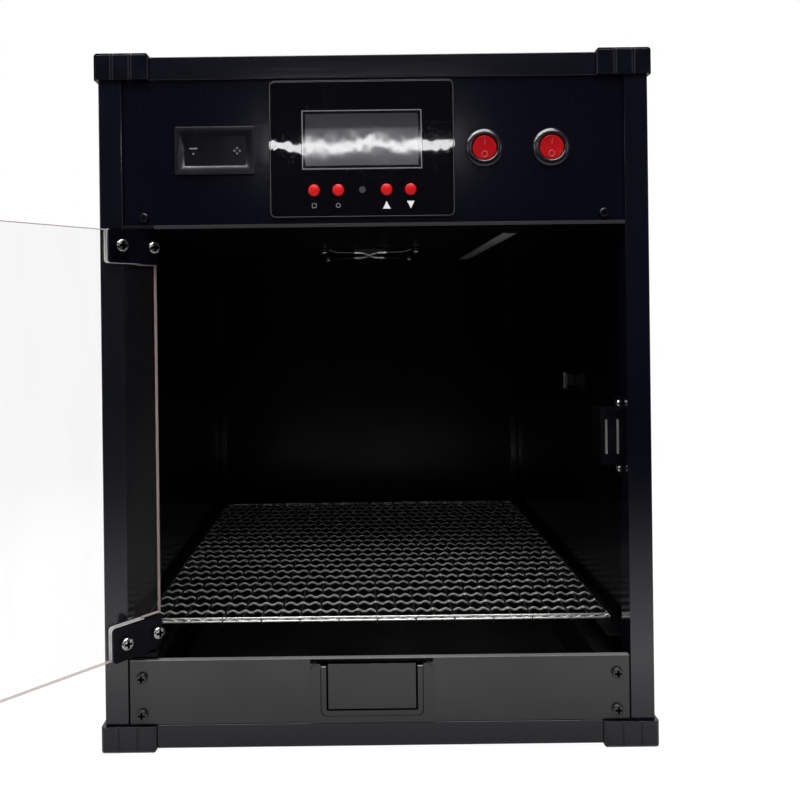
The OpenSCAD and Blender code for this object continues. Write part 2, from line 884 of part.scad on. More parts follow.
module lcd_window() {
    back = front_y(fascia_face);
    color("#8d929c") span(
        [control_x - lcd_w / 2, back - plate_t, lcd_z - lcd_h / 2],
        [control_x + lcd_w / 2, back, lcd_z + lcd_h / 2]
    );
}

module controller_case() {
    front = front_y(fascia_face);
    half = [case_w / 2, 0, case_h / 2];
    color("#202024") difference() {
        span([control_x, front, control_z] - half, [control_x, front + case_d, control_z] + half);
        for (x = button_x) {
            bore_y([x, front - cut, button_z], button_d / 2 + button_play, button_well + cut);
        }
        bore_y([control_x, front - cut, button_z], lamp_d / 2 + lcd_play, button_tail + cut);
    }
}

// Push button, by its place in the row
module push_button(place) {
    front = front_y(fascia_face - plate_t - button_proud);
    color("#c81e1e") bore_y(
        [button_x[place], front, button_z],
        button_d / 2,
        button_proud + plate_t + button_tail
    );
}

module button_enter() {
    push_button(0);
}

module button_set() {
    push_button(1);
}

module button_up() {
    push_button(2);
}

module button_down() {
    push_button(3);
}

module output_lamp() {
    front = front_y(fascia_face - plate_t - lamp_proud);
    color("#30302c") bore_y(
        [control_x, front, button_z],
        lamp_d / 2,
        lamp_proud + plate_t + button_tail
    );
}

module thermometer_case() {
    face = front_y(fascia_face);
    front = face - meter_proud;
    middle = [meter_x, 0, control_z];
    body_half = [meter_w / 2 - meter_rim, 0, meter_h / 2 - meter_rim];
    seat_half = [window_w / 2 + lcd_play, 0, window_h / 2 + lcd_play];
    slope = window_slope * [1, 0, 1];
    thin = [0, skin, 0];
    seat_y = [0, front + window_deep, 0];
    color("#17171a") difference() {
        union() {
            upright(front, face)
                translate([meter_x, control_z]) polygon(round_rect(meter_w, meter_h, meter_r));
            span(middle - body_half + [0, face - cut, 0], middle + body_half + [0, face + meter_d, 0]);
        }
        hull() {
            span(middle + seat_y - seat_half, middle + seat_y + seat_half + thin);
            span(
                middle - seat_half - slope + [0, front - skin, 0],
                middle + seat_half + slope + [0, front, 0]
            );
        }
        span(middle + seat_y - seat_half, middle + seat_y + seat_half + [0, window_t, 0]);
    }
}

module thermometer_window() {
    front = front_y(fascia_face - meter_proud + window_deep);
    low = [meter_x - window_w / 2, front, control_z - window_h / 2];
    color("#3b4046") span(low, low + [window_w, window_t, window_h]);
}

// Pivot of a rocker, by the switch's place
function rocker_pivot(x) = [x, front_y(fascia_face - switch_proud + rocker_set), control_z];

// Round switch: bezel, body, pivot pin and two terminals
module switch_case(x) {
    face = front_y(fascia_face);
    front = face - switch_proud;
    color("#141416") {
        difference() {
            union() {
                bore_y([x, front, control_z], switch_bezel_d / 2, switch_proud);
                bore_y([x, face - cut, control_z], switch_body_d / 2, switch_d + cut);
            }
            bore_y([x, front - cut, control_z], rocker_r + rocker_play, rocker_well + cut);
        }
        bore_x(
            rocker_pivot(x) - [rocker_r + 2 * rocker_play, 0, 0],
            rocker_pin_r,
            2 * rocker_r + 4 * rocker_play
        );
        for (up = [-1, 1]) {
            translate([x - terminal[0] / 2, face + switch_d - cut, control_z + up * terminal_pitch / 2])
                cube(terminal + [0, cut, 0]);
        }
    }
}

// Rocker: a ball on the pivot pin, cut to a shallow valley in front
module switch_rocker(x) {
    tall = 2 * rocker_r;
    color("#d01c1c") translate(rocker_pivot(x)) rotate([rocker_tilt, 0, 0]) difference() {
        intersection() {
            rotate([90, 45, 0]) sphere(r = rocker_r);
            rotate([90, 0, 90]) translate([0, 0, -tall]) linear_extrude(2 * tall) polygon([
                [-rocker_ends, -tall], [-rocker_ridge, 0], [-rocker_ends, tall],
                [rocker_back, tall], [rocker_back, -tall]
            ]);
        }
        bore_x([-tall, 0, 0], rocker_pin_r + pin_play, 2 * tall);
    }
}

module switch_left_case() {
    switch_case(switch_left_x);
}

module switch_left_rocker() {
    switch_rocker(switch_left_x);
}

module switch_right_case() {
    switch_case(switch_right_x);
}

module switch_right_rocker() {
    switch_rocker(switch_right_x);
}

// Places a shape of the closed door, drawn from its pivot, at the door's resting angle
module on_door() {
    translate([pivot_x, front_y(pivot_deep), 0]) rotate([0, 0, -door_open]) children();
}

// Heights of the lower and the upper clamp
clamp_heights = [clamp_low_z, clamp_high_z];

// Clamp screws: along the pane and at the clamp's middle height
clamp_screws = [for (z = clamp_heights, x = [-clamp_screw_past, clamp_screw_far]) [x, 0, z + clamp_h / 2]];

module door_pane() {
    half = pane_t / 2;
    room = block_play * [1, 0, 1];
    color("#c9b9b4", 0.4) on_door() difference() {
        span([-pane_past, -half, pane_low], [pane_far, half, pane_high]);
        for (z = clamp_heights) {
            span(
                [-clamp_past - cut, -half - cut, z] - room,
                [clamp_block, half + cut, z + clamp_h] + room
            );
        }
        for (s = clamp_screws) {
            bore_y(s - [0, half + cut, 0], screw_hole_r, pane_t + 2 * cut);
        }
        bore_y([knob_at, -half - cut, catch_z], screw_hole_r, pane_t + 2 * cut);
    }
}

// Outline of a clamp in X and Z
module clamp_outline(z) {
    translate([clamp_len / 2 - clamp_past, z + clamp_h / 2]) polygon(round_rect(clamp_len, clamp_h, clamp_r));
}

// Bevel on the end of a clamp that passes the post, on the outside (-1) or the inside (1)
module clamp_end_cut(face) {
    side = clamp_chamfer * sqrt(2);
    translate([-clamp_past, face * clamp_t / 2, 0])
        rotate([0, 0, 45]) translate([-side / 2, -side / 2, 0]) cube([side, side, cab_h]);
}

// Outer clamp plate with the block that holds the hinge pin: way is -1 for a pin that points down
module hinge_clamp(z, way) {
    outside = -clamp_t / 2;
    pin_len = clamp_gap + ceiling_t - pin_short;
    pin_from = way < 0 ? z - pin_len : z + clamp_h - cut;
    color("#2a2a2d") on_door() {
        difference() {
            union() {
                upright(outside, outside + clamp_plate) clamp_outline(z);
                intersection() {
                    upright(outside, clamp_t / 2 - clamp_plate) clamp_outline(z);
                    span([-clamp_past, outside, z], [clamp_block, clamp_t, z + clamp_h]);
                }
            }
            clamp_end_cut(-1);
            for (s = clamp_screws) {
                bore_y(s + [0, outside + clamp_plate / 4, 0], screw_hole_r, clamp_t);
            }
        }
        translate([0, 0, pin_from]) cylinder(r = hinge_pin_r, h = pin_len + cut);
    }
}

module upper_hinge_clamp() {
    hinge_clamp(clamp_high_z, 1);
}

module lower_hinge_clamp() {
    hinge_clamp(clamp_low_z, -1);
}

module hinge_cover_plates() {
    inside = clamp_t / 2;
    color("#2a2a2d") on_door() for (z = clamp_heights) {
        difference() {
            upright(inside - clamp_plate, inside) clamp_outline(z);
            clamp_end_cut(1);
            for (s = clamp_screws) {
                bore_y(s + [0, inside - clamp_plate - cut, 0], screw_hole_r, clamp_plate + 2 * cut);
            }
        }
    }
}

module hinge_pads() {
    color("#d8d8d8") on_door() for (z = clamp_heights, face = [-1, 1]) {
        middle = face * (pane_t + pad_t) / 2;
        difference() {
            intersection() {
                upright(middle - pad_t / 2, middle + pad_t / 2) clamp_outline(z);
                span(
                    [clamp_block + block_play, middle - pad_t, z],
                    [clamp_len, middle + pad_t, z + clamp_h]
                );
            }
            for (s = clamp_screws) {
                bore_y(s + [0, middle - pad_t, 0], screw_hole_r, 2 * pad_t);
            }
        }
    }
}

module door_screws() {
    inside = clamp_t / 2;
    color("silver") on_door() {
        for (s = clamp_screws) {
            translate(s + [0, inside, 0])
                rotate([-90, 0, 0]) pan_screw(clamp_head_d, screw_r, clamp_t - clamp_plate / 2);
        }
        translate([knob_at, pane_t / 2, catch_z])
            rotate([-90, 0, 0]) pan_screw(clamp_head_d, knob_screw_r, pane_t + knob_len / 2);
    }
}

// Hinge bracket: a plate with the pin's bore and a tab that stands on it against the post
module hinge_bracket(z) {
    back = front_y(bracket_d);
    color("#1f1f22") difference() {
        union() {
            span([-inner_x, front_y(0), z], [-inner_x + bracket_len, back, z + ceiling_t]);
            span([-inner_x, back - tab_w, z], [-inner_x + tab_t, back, z + tab_h]);
        }
        translate([pivot_x, front_y(pivot_deep), z - cut])
            cylinder(r = hinge_pin_r + pin_play, h = ceiling_t + 2 * cut);
    }
}

module hinge_bracket_upper() {
    hinge_bracket(ceiling_z);
}

module hinge_bracket_lower() {
    hinge_bracket(bracket_low_z);
}

// Steel strip on the pane that the magnet holds
module door_strike_plate() {
    at = 2 * inner_x - pivot_in - catch_w / 2;
    wide = pole_pitch + 2 * pole_t;
    color("silver") on_door() span(
        [at - wide / 2, pane_t / 2, catch_z - pole_h / 2],
        [at + wide / 2, pane_t / 2 + strike_t, catch_z + pole_h / 2]
    );
}

module door_knob() {
    r = knob_d / 2;
    stem = knob_len / 2;
    color("#2a2a2d") on_door() translate([knob_at, -pane_t / 2, catch_z]) rotate([90, 0, 0]) difference() {
        rotate_extrude() polygon([
            [0, 0], [0.7 * r, 0], [0.5 * r, 0.5 * stem], [0.5 * r, stem], [0.9 * r, 1.25 * stem],
            [r, 1.5 * stem], [0.92 * r, 1.85 * stem], [0.6 * r, knob_len], [0, knob_len]
        ]);
        translate([0, 0, -cut]) cylinder(r = screw_hole_r, h = stem + 2 * cut);
    }
}

// Catch screw on the post's inner face: up is 1 for the upper one
function catch_screw_at(up) = [inner_x, front_y(catch_screw_deep), catch_z + up * catch_screw_up];

// The two pole plates with some room round them
module pole_plates(room) {
    for (side = [-1, 1]) {
        middle = [pole_mid + side * pole_pitch / 2, front_y(pole_deep), catch_z];
        half = [pole_t / 2 + room, 0, pole_h / 2 + room];
        span(middle - half, middle + half + [0, pole_len + room, 0]);
    }
}

module catch_housing() {
    front = front_y(catch_deep);
    color("#2e2e31") difference() {
        union() {
            span(
                [inner_x - catch_w, front, catch_z - catch_h / 2],
                [inner_x, front + catch_d, catch_z + catch_h / 2]
            );
            span(
                [inner_x - catch_base_t, front + catch_base_in, catch_z - catch_base_h / 2],
                [inner_x, front + catch_d - catch_base_in, catch_z + catch_base_h / 2]
            );
        }
        pole_plates(pole_play);
        for (up = [-1, 1]) {
            bore_x(catch_screw_at(up) - [catch_base_t + cut, 0, 0], screw_hole_r, catch_base_t + 2 * cut);
        }
    }
}

module catch_poles() {
    color("silver") pole_plates(0);
}

// Catch screws in the post and fan screws under the ceiling
module steel_screws() {
    color("silver") {
        for (up = [-1, 1]) {
            translate(catch_screw_at(up) - [catch_base_t, 0, 0])
                rotate([0, -90, 0]) pan_screw(steel_head_d, screw_r, catch_base_t + slot_wall - screw_past);
        }
        for (c = fan_corners) {
            translate(fan_at + [c[0], c[1], -ceiling_t - guard_wire])
                rotate([180, 0, 0])
                    pan_screw(2 * (eyelet_r - fan_head_in), fan_screw_r, guard_wire + ceiling_t + fan_h / 2);
        }
    }
}

module drawer_front() {
    back = front_y(drawer_front_t);
    body_low = drawer_low + pull_rim - pull_play;
    body_half = pull_body_half + pull_play;
    color("#4a4a4e") difference() {
        span([-drawer_half, front_y(0), drawer_low], [drawer_half, back, drawer_top]);
        span([pull_x - body_half, front_y(-cut), body_low], [pull_x + body_half, back + cut, pull_top]);
        span(
            [pull_x - pull_w / 2, front_y(-cut), pull_top - pull_play],
            [pull_x + pull_w / 2, back + cut, drawer_top - pull_strip]
        );
        for (x = [-drawer_screw_x, drawer_screw_x], z = drawer_screw_z) {
            bore_y([x, front_y(-cut), z], screw_hole_r, drawer_front_t + 2 * cut);
        }
    }
}

// Open tray: its front wall is wider and takes the drawer front's screws, its side flanges ride the runners
module drawer_tray() {
    front = front_y(drawer_front_t);
    back = front + tray_d;
    color("#1a1a1d") difference() {
        union() {
            span([-tray_outer, front, tray_floor], [tray_outer, back, tray_top]);
            span([-flange_half, front, tray_floor], [flange_half, front + tray_t, tray_top]);
            span([-flange_half, front, tray_top - tray_t], [flange_half, back, tray_top]);
        }
        span([-tray_half, front + tray_t, tray_floor + tray_t], [tray_half, back - tray_t, tray_top + cut]);
        for (x = [-drawer_screw_x, drawer_screw_x], z = drawer_screw_z) {
            bore_y([x, front - cut, z], screw_hole_r, tray_t + 2 * cut);
        }
    }
}

module drawer_screws() {
    len = drawer_front_t + tray_t + screw_past;
    color("#2d2d30") for (x = [-drawer_screw_x, drawer_screw_x], z = drawer_screw_z) {
        translate([x, front_y(0), z]) rotate([90, 0, 0]) pan_screw(drawer_head_d, screw_r, len);
    }
}

// A list of points from its end to its start
function reverse_points(p) = [for (i = [len(p) - 1:-1:0]) p[i]];

// Outline of the bail about its middle, in X and Z, widened on the outside and the inside
module bail_outline(outside, inside) {
    out_half = bail_w / 2 + outside;
    in_half = bail_w / 2 - bail_bar - inside;
    low = drawer_low + bail_up - outside;
    in_low = drawer_low + bail_up + bail_bar + inside;
    polygon(concat(
        [[-out_half, bail_pivot_z]],
        corner_arc([bail_r - out_half, low + bail_r], bail_r, 180),
        corner_arc([out_half - bail_r, low + bail_r], bail_r, 270),
        [[out_half, bail_pivot_z], [in_half, bail_pivot_z]],
        reverse_points(corner_arc([in_half - bail_in_r, in_low + bail_in_r], bail_in_r, 270)),
        reverse_points(corner_arc([bail_in_r - in_half, in_low + bail_in_r], bail_in_r, 180)),
        [[-in_half, bail_pivot_z]]
    ));
}

// Plate with a groove that the folded bail lies in
module pull_plate() {
    front = front_y(-pull_proud);
    half = pull_w / 2;
    groove_back = front + bail_t + bail_play;
    groove_in = bail_w / 2 - bail_bar - bail_gap;
    color("#46464a") translate([pull_x, 0, 0]) difference() {
        union() {
            upright(front, front_y(0)) polygon([
                [-half, drawer_low], [half, drawer_low], [half, pull_top - pull_chamfer],
                [half - pull_chamfer, pull_top], [pull_chamfer - half, pull_top],
                [-half, pull_top - pull_chamfer]
            ]);
            span(
                [-pull_body_half, front, drawer_low + pull_rim],
                [pull_body_half, front_y(drawer_front_t), pull_top - pull_play]
            );
        }
        upright(front - cut, groove_back) bail_outline(bail_play, bail_gap);
        on_both_sides() {
            span(
                [groove_in, front - cut, bail_pivot_z - cut],
                [groove_half, groove_back, pull_top + cut]
            );
            bore_x(
                [groove_half - cut, front_y(bail_pivot_deep), bail_pivot_z],
                bail_pin_r + pin_play,
                bail_wall + 2 * cut
            );
        }
    }
}

// Folding bail: a U with round upper ends and a pivot pin on each leg
module pull_bail() {
    front = front_y(bail_front);
    pivot = [bail_w / 2 - bail_bar, front_y(bail_pivot_deep), bail_pivot_z];
    color("#505054") translate([pull_x, 0, 0]) {
        upright(front, front + bail_t) bail_outline(0, 0);
        on_both_sides() {
            bore_x(pivot, bail_t / 2, bail_bar);
            bore_x(pivot, bail_pin_r, bail_bar + bail_play + bail_pin_len);
        }
    }
}

// Angle along a side panel, from its top face down: both sides
module side_angles(top, wide, tall) {
    on_both_sides() {
        span([wall_x - wide, -runner_end, top - angle_t], [wall_x, runner_end, top]);
        span([wall_x - angle_t, -runner_end, top - tall], [wall_x, runner_end, top]);
    }
}

module drawer_runners() {
    color("#5a5a5e") side_angles(runner_top, runner_w, runner_h);
}

module floor_ledges() {
    color("#5a5a5e") side_angles(ledge_top, ledge_w, ledge_h);
}

// Welded wire floor as one flat net
module floor_mesh() {
    front = front_y(floor_behind);
    hole = [mesh_x - wire_w, mesh_y - wire_w];
    color("silver") translate([-floor_half, front, ledge_top]) linear_extrude(floor_t) difference() {
        square([2 * floor_half, floor_d]);
        for (i = [0:mesh_count - 1], j = [0:mesh_count - 1]) {
            translate([rim_w + i * mesh_x, rim_w + j * mesh_y]) square(hole);
        }
    }
}

// Fan housing: square frame, ring, struts and the bearing plate of the hub
module fan_frame() {
    half = fan_w / 2;
    strut_half = ring_r + fan_ring / 2;
    color("#202023") translate(fan_at) difference() {
        union() {
            difference() {
                span([-half, -half, 0], [half, half, fan_h]);
                translate([0, 0, -cut]) cylinder(r = ring_r, h = fan_h + 2 * cut);
            }
            cylinder(d = hub_d, h = hub_plate);
            for (turn = [45, 135]) {
                rotate(turn) span([-strut_half, -strut_w / 2, 0], [strut_half, strut_w / 2, hub_plate]);
            }
        }
        for (c = fan_corners) {
            translate([c[0], c[1], -cut]) cylinder(r = fan_hole_r, h = fan_h + 2 * cut);
        }
        translate([0, 0, -cut]) cylinder(r = shaft_r + pin_play, h = hub_plate + 2 * cut);
    }
}

module fan_rotor() {
    hub_low = hub_plate + rotor_gap;
    hub_h = hub_top - hub_low;
    color("#2c2c30") translate(fan_at) {
        translate([0, 0, hub_low]) cylinder(d = hub_d, h = hub_h);
        translate([0, 0, rotor_gap]) cylinder(r = shaft_r, h = hub_low);
        intersection() {
            translate([0, 0, hub_low]) cylinder(r = rotor_r, h = hub_h);
            for (i = [0:blade_count - 1]) {
                rotate(i * 360 / blade_count)
                    translate([hub_d / 2 - blade_root, 0, hub_low + hub_h / 2])
                        rotate([blade_pitch, 0, 0])
                            span([0, -blade_t / 2, -blade_h / 2], [fan_w / 2, blade_t / 2, blade_h / 2]);
            }
        }
    }
}

// Wire guard under the ceiling: crossed wires with eyelets, and rings under them
module fan_guard() {
    reach = norm(fan_corners[0]);
    color("silver") translate(fan_at - [0, 0, ceiling_t + guard_wire]) {
        linear_extrude(guard_wire) difference() {
            union() {
                for (turn = [45, 135]) {
                    rotate(turn) square([2 * reach, guard_wire], center = true);
                }
                for (c = fan_corners) {
                    translate(c) circle(r = eyelet_r);
                }
            }
            for (c = fan_corners) {
                translate(c) circle(r = fan_hole_r);
            }
        }
        translate([0, 0, -guard_wire]) linear_extrude(guard_wire) for (i = [0:guard_rings - 1]) {
            difference() {
                circle(r = guard_inner + i * guard_pitch + guard_wire / 2);
                circle(r = guard_inner + i * guard_pitch - guard_wire / 2);
            }
        }
    }
}

// Heater on the fan's inlet: a block with air slots
module heater_block() {
    half = fan_w / 2;
    inner = half - heater_rim;
    pitch = (2 * inner + heater_gap) / heater_slots;
    color("#8b8b8f") translate(fan_at + [0, 0, fan_h]) difference() {
        span([-half, -half, 0], [half, half, heater_h]);
        for (i = [0:heater_slots - 1]) {
            x = -inner + i * pitch;
            span([x, -inner, -cut], [x + pitch - heater_gap, inner, heater_h + cut]);
        }
    }
}

// Power supply: a ventilated box on the ceiling sheet
module power_supply() {
    low = [wall_x - supply_in - supply_w, wall_y - supply_from_back - supply_d, ceiling_top];
    pitch = (supply_w - 2 * supply_rim) / supply_slots;
    color("#6d6d70") difference() {
        translate(low) cube([supply_w, supply_d, supply_h]);
        for (i = [0:supply_slots - 1]) {
            translate(low + [supply_rim + i * pitch, supply_rim, supply_h - supply_groove])
                cube([supply_slot_w, supply_d - 2 * supply_rim, supply_groove + cut]);
        }
    }
}

// Light bar under the ceiling
module light_bar() {
    half = light_w / 2;
    lens = 0.72 * half;
    color("#e6e6e2") translate([light_x, front_y(light_behind + light_len), ceiling_z])
        rotate([90, 0, 0]) linear_extrude(light_len) polygon([
            [-half, 0], [-half, -0.45 * light_h], [-lens, -0.85 * light_h], [-0.4 * lens, -light_h],
            [0.4 * lens, -light_h], [lens, -0.85 * light_h], [half, -0.45 * light_h], [half, 0]
        ]);
}

// Temperature probe: a steel capsule in a clip on the right side panel
module sensor_probe() {
    r = probe_d / 2;
    at = [wall_x - probe_clip[0] - r + probe_sunk, front_y(probe_behind), probe_z];
    clip_half = [0, probe_clip[1] / 2, probe_clip[2] / 2];
    color("#b8b8bc") {
        translate(at - [0, 0, probe_len / 2]) {
            cylinder(r = r, h = probe_len - r);
            translate([0, 0, probe_len - r]) sphere(r = r);
        }
        span(at - clip_half, [wall_x, at[1], at[2]] + clip_half);
    }
}

// Cord gland in the back panel: body, outer dome nut and inner lock nut round one bore
module cord_gland() {
    body_len = panel_t + 2 * gland_nut_t + gland_out;
    color("#232326") translate(gland_at) rotate([-90, 0, 0]) difference() {
        union() {
            translate([0, 0, -gland_nut_t]) cylinder(d = gland_body_d, h = body_len);
            translate([0, 0, -gland_nut_t]) cylinder(d = gland_nut_d, h = gland_nut_t, $fn = 6);
            translate([0, 0, panel_t]) cylinder(d = gland_nut_d, h = gland_nut_t, $fn = 6);
            translate([0, 0, panel_t + gland_nut_t])
                cylinder(d1 = gland_body_d + gland_dome[0], d2 = gland_body_d + gland_dome[1], h = gland_out);
        }
        translate([0, 0, -gland_nut_t - cut]) cylinder(d = gland_bore_d, h = body_len + 2 * cut);
    }
}

post_front_left();
post_front_right();
post_rear_left();
post_rear_right();
rails_top();
rails_bottom();
corner_blocks_top();
corner_blocks_bottom();
side_panel_left();
side_panel_right();
back_panel();
top_panel();
base_panel();
fascia_panel();
ceiling_panel();
fascia_screws();
controller_plate();
lcd_window();
controller_case();
button_enter();
button_set();
button_up();
button_down();
output_lamp();
thermometer_case();
thermometer_window();
switch_left_case();
switch_left_rocker();
switch_right_case();
switch_right_rocker();
door_pane();
upper_hinge_clamp();
lower_hinge_clamp();
hinge_cover_plates();
hinge_pads();
door_screws();
hinge_bracket_upper();
hinge_bracket_lower();
door_strike_plate();
door_knob();
catch_housing();
catch_poles();
steel_screws();
drawer_front();
drawer_tray();
drawer_screws();
pull_plate();
pull_bail();
drawer_runners();
floor_ledges();
floor_mesh();
fan_frame();
fan_rotor();
fan_guard();
heater_block();
power_supply();
light_bar();
sensor_probe();
cord_gland();
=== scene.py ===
"""Looks of a heated brooder cabinet: finishes, woven wire floor, clear door and small trim."""

import json
import logging
import math
from dataclasses import dataclass, field
from enum import Enum
from typing import Sequence

import bmesh
import bpy
import numpy as np
from mathutils import Matrix, Vector


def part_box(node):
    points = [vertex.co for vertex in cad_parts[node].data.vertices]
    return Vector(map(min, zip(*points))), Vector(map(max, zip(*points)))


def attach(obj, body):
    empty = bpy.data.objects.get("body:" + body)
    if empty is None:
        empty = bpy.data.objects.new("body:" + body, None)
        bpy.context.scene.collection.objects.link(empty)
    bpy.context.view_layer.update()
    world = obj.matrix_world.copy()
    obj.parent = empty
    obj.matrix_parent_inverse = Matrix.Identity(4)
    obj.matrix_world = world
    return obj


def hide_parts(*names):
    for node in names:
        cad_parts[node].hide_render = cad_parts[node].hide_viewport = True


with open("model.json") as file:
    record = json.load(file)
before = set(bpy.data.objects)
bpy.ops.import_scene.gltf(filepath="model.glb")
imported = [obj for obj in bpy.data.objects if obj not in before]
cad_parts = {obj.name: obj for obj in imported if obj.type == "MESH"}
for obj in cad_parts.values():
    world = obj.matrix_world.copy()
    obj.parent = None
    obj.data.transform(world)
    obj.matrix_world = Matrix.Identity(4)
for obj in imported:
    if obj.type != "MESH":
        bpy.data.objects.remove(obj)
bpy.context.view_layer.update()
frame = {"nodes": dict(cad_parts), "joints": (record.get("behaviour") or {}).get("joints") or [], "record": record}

LOG = logging.getLogger("brooder")
MM = 0.001
Pair = tuple[float, float]
Triple = tuple[float, float, float]
Colour = Triple
UP = np.array([0.0, 0.0, 1.0])
RIGHT = np.array([1.0, 0.0, 0.0])
INWARD = np.array([0.0, 1.0, 0.0])
INK: Colour = (0.0008, 0.0008, 0.0028)
GRAPHITE: Colour = (0.004, 0.004, 0.004)
STEEL: Colour = (0.42, 0.415, 0.4)
BRIGHT_WIRE: Colour = (0.92, 0.91, 0.89)
SMOOTH = 0.01 * MM
FINE_GRAIN = 2500.0
FILM_WAVES = 0.3 * MM
PRINT_EDGE = 0.01 * MM
MERGED_WITHIN = 1e-7
SHARP_PAST = math.radians(35)


class Along(Enum):
    """Which way a drawn tube's grain runs."""

    UPRIGHT = "upright"
    LEVEL = "level"


class Link:
    """An output socket that takes part in Python expressions, each of which adds a Math node."""

    def __init__(self, graph: "Graph", socket: bpy.types.NodeSocket) -> None:
        """Keep the graph and the socket."""
        self.graph = graph
        self.socket = socket

    def math(self, operation: str, *values: "Link | float") -> "Link":
        """Add one Math node.

        Args:
            operation: the Math node's operation.
            values: its inputs, in order.

        Returns:
            The node's output.
        """
        return self.graph.node("ShaderNodeMath", {"operation": operation}, dict(enumerate(values)))

    def __add__(self, other: "Link | float") -> "Link":
        """Sum."""
        return self.math("ADD", self, other)

    def __radd__(self, other: float) -> "Link":
        """Sum with a number on the left."""
        return self.math("ADD", other, self)

    def __sub__(self, other: "Link | float") -> "Link":
        """Difference."""
        return self.math("SUBTRACT", self, other)

    def __rsub__(self, other: float) -> "Link":
        """Difference from a number."""
        return self.math("SUBTRACT", other, self)

    def __mul__(self, other: "Link | float") -> "Link":
        """Product."""
        return self.math("MULTIPLY", self, other)

    def __rmul__(self, other: float) -> "Link":
        """Product with a number on the left."""
        return self.math("MULTIPLY", other, self)

    def __pow__(self, other: float) -> "Link":
        """Power."""
        return self.math("POWER", self, other)

    def __gt__(self, other: "Link | float") -> "Link":
        """One where this is greater, else zero."""
        return self.math("GREATER_THAN", self, other)

    def __lt__(self, other: "Link | float") -> "Link":
        """One where this is less, else zero."""
        return self.math("LESS_THAN", self, other)

    def __abs__(self) -> "Link":
        """Absolute value."""
        return self.math("ABSOLUTE", self)

    def most(self, other: "Link | float") -> "Link":
        """The greater of two values."""
        return self.math("MAXIMUM", self, other)

    def least(self, other: "Link | float") -> "Link":
        """The smaller of two values."""
        return self.math("MINIMUM", self, other)


class Graph:
    """Nodes of one material or world."""

    def __init__(self, tree: bpy.types.NodeTree) -> None:
        """Start with an empty tree."""
        self.tree = tree
        tree.nodes.clear()

    def node(self, kind: str, settings: dict | None = None, inputs: dict | None = None,
             output: int | str = 0) -> Link | None:
        """Add any node.

        Args:
            kind: the node's type.
            settings: its properties, set first.
            inputs: values or links of its sockets, by name or place.
            output: the output socket to return.

        Returns:
            The output as a link, or None for a node without outputs.
        """
        made = self.tree.nodes.new(kind)
        for key, value in (settings or {}).items():
            setattr(made, key, value)
        for key, value in (inputs or {}).items():
            if isinstance(value, Link):
                self.tree.links.new(value.socket, made.inputs[key])
            else:
                made.inputs[key].default_value = value
        return Link(self, made.outputs[output]) if made.outputs else None

    def place(self) -> Link:
        """Object coordinates."""
        return self.node("ShaderNodeTexCoord", output="Object")

    def axis(self, vector: Link, name: str) -> Link:
        """One part of a vector, by its letter."""
        return self.node("ShaderNodeSeparateXYZ", inputs={0: vector}, output=name)

    def along(self, vector: Link, way: Triple) -> Link:
        """How far a vector reaches along a direction."""
        return self.node("ShaderNodeVectorMath", {"operation": "DOT_PRODUCT"}, {0: vector, 1: way}, "Value")

    def length(self, vector: Link) -> Link:
        """A vector's length."""
        return self.node("ShaderNodeVectorMath", {"operation": "LENGTH"}, {0: vector}, "Value")

    def stretched(self, vector: Link, scale: Triple) -> Link:
        """A vector scaled by a Mapping node."""
        return self.node("ShaderNodeMapping", inputs={"Vector": vector, "Scale": scale})

    def noise(self, vector: Link, scale: float, detail: float = 2.0) -> Link:
        """Soft noise from 0 to 1."""
        return self.node("ShaderNodeTexNoise", inputs={"Vector": vector, "Scale": scale, "Detail": detail})

    def ranged(self, value: Link, low: float, high: float, to_low: float = 0.0, to_high: float = 1.0) -> Link:
        """A value carried from one range to another and held there."""
        return self.node("ShaderNodeMapRange", {"clamp": True}, {
            "Value": value, "From Min": low, "From Max": high, "To Min": to_low, "To Max": to_high})

    def mixed(self, share: Link | float, first: Link | Colour, second: Link | Colour) -> Link:
        """Two colours mixed by a share."""
        tints = [c if isinstance(c, Link) else (*c, 1.0) for c in (first, second)]
        return self.node("ShaderNodeMix", {"data_type": "RGBA"}, {0: share, 6: tints[0], 7: tints[1]}, 2)

    def blended(self, share: Link, first: Link, second: Link) -> Link:
        """Two shaders mixed by a share."""
        return self.node("ShaderNodeMixShader", inputs={0: share, 1: first, 2: second})

    def bump(self, height: Link, depth: float) -> Link:
        """Normal of a relief of a real depth in metres."""
        return self.node("ShaderNodeBump", inputs={"Strength": 1.0, "Distance": depth, "Height": height})

    def film(self, at: Link, depth: float, stretch: Triple = (1, 1, 0.6), scale: float = 32.0) -> Link:
        """Normal of a thin film that lies in low waves, the same wherever it covers."""
        return self.bump(self.noise(self.stretched(at, stretch), scale, 3.0), depth)

    def ray(self, name: str) -> Link:
        """One on rays of a kind, such as Camera."""
        return self.node("ShaderNodeLightPath", output=f"Is {name} Ray")

    def surface(self, shader: Link) -> None:
        """Send a shader to the output."""
        kind = "World" if self.tree.id_data.rna_type.identifier == "World" else "Material"
        self.node(f"ShaderNodeOutput{kind}", inputs={"Surface": shader})


def toned(colour: Colour, factor: float, lift: float = 0.0) -> Colour:
    """A colour scaled and lifted, no brighter than white."""
    return tuple(min(1.0, part * factor + lift) for part in colour)


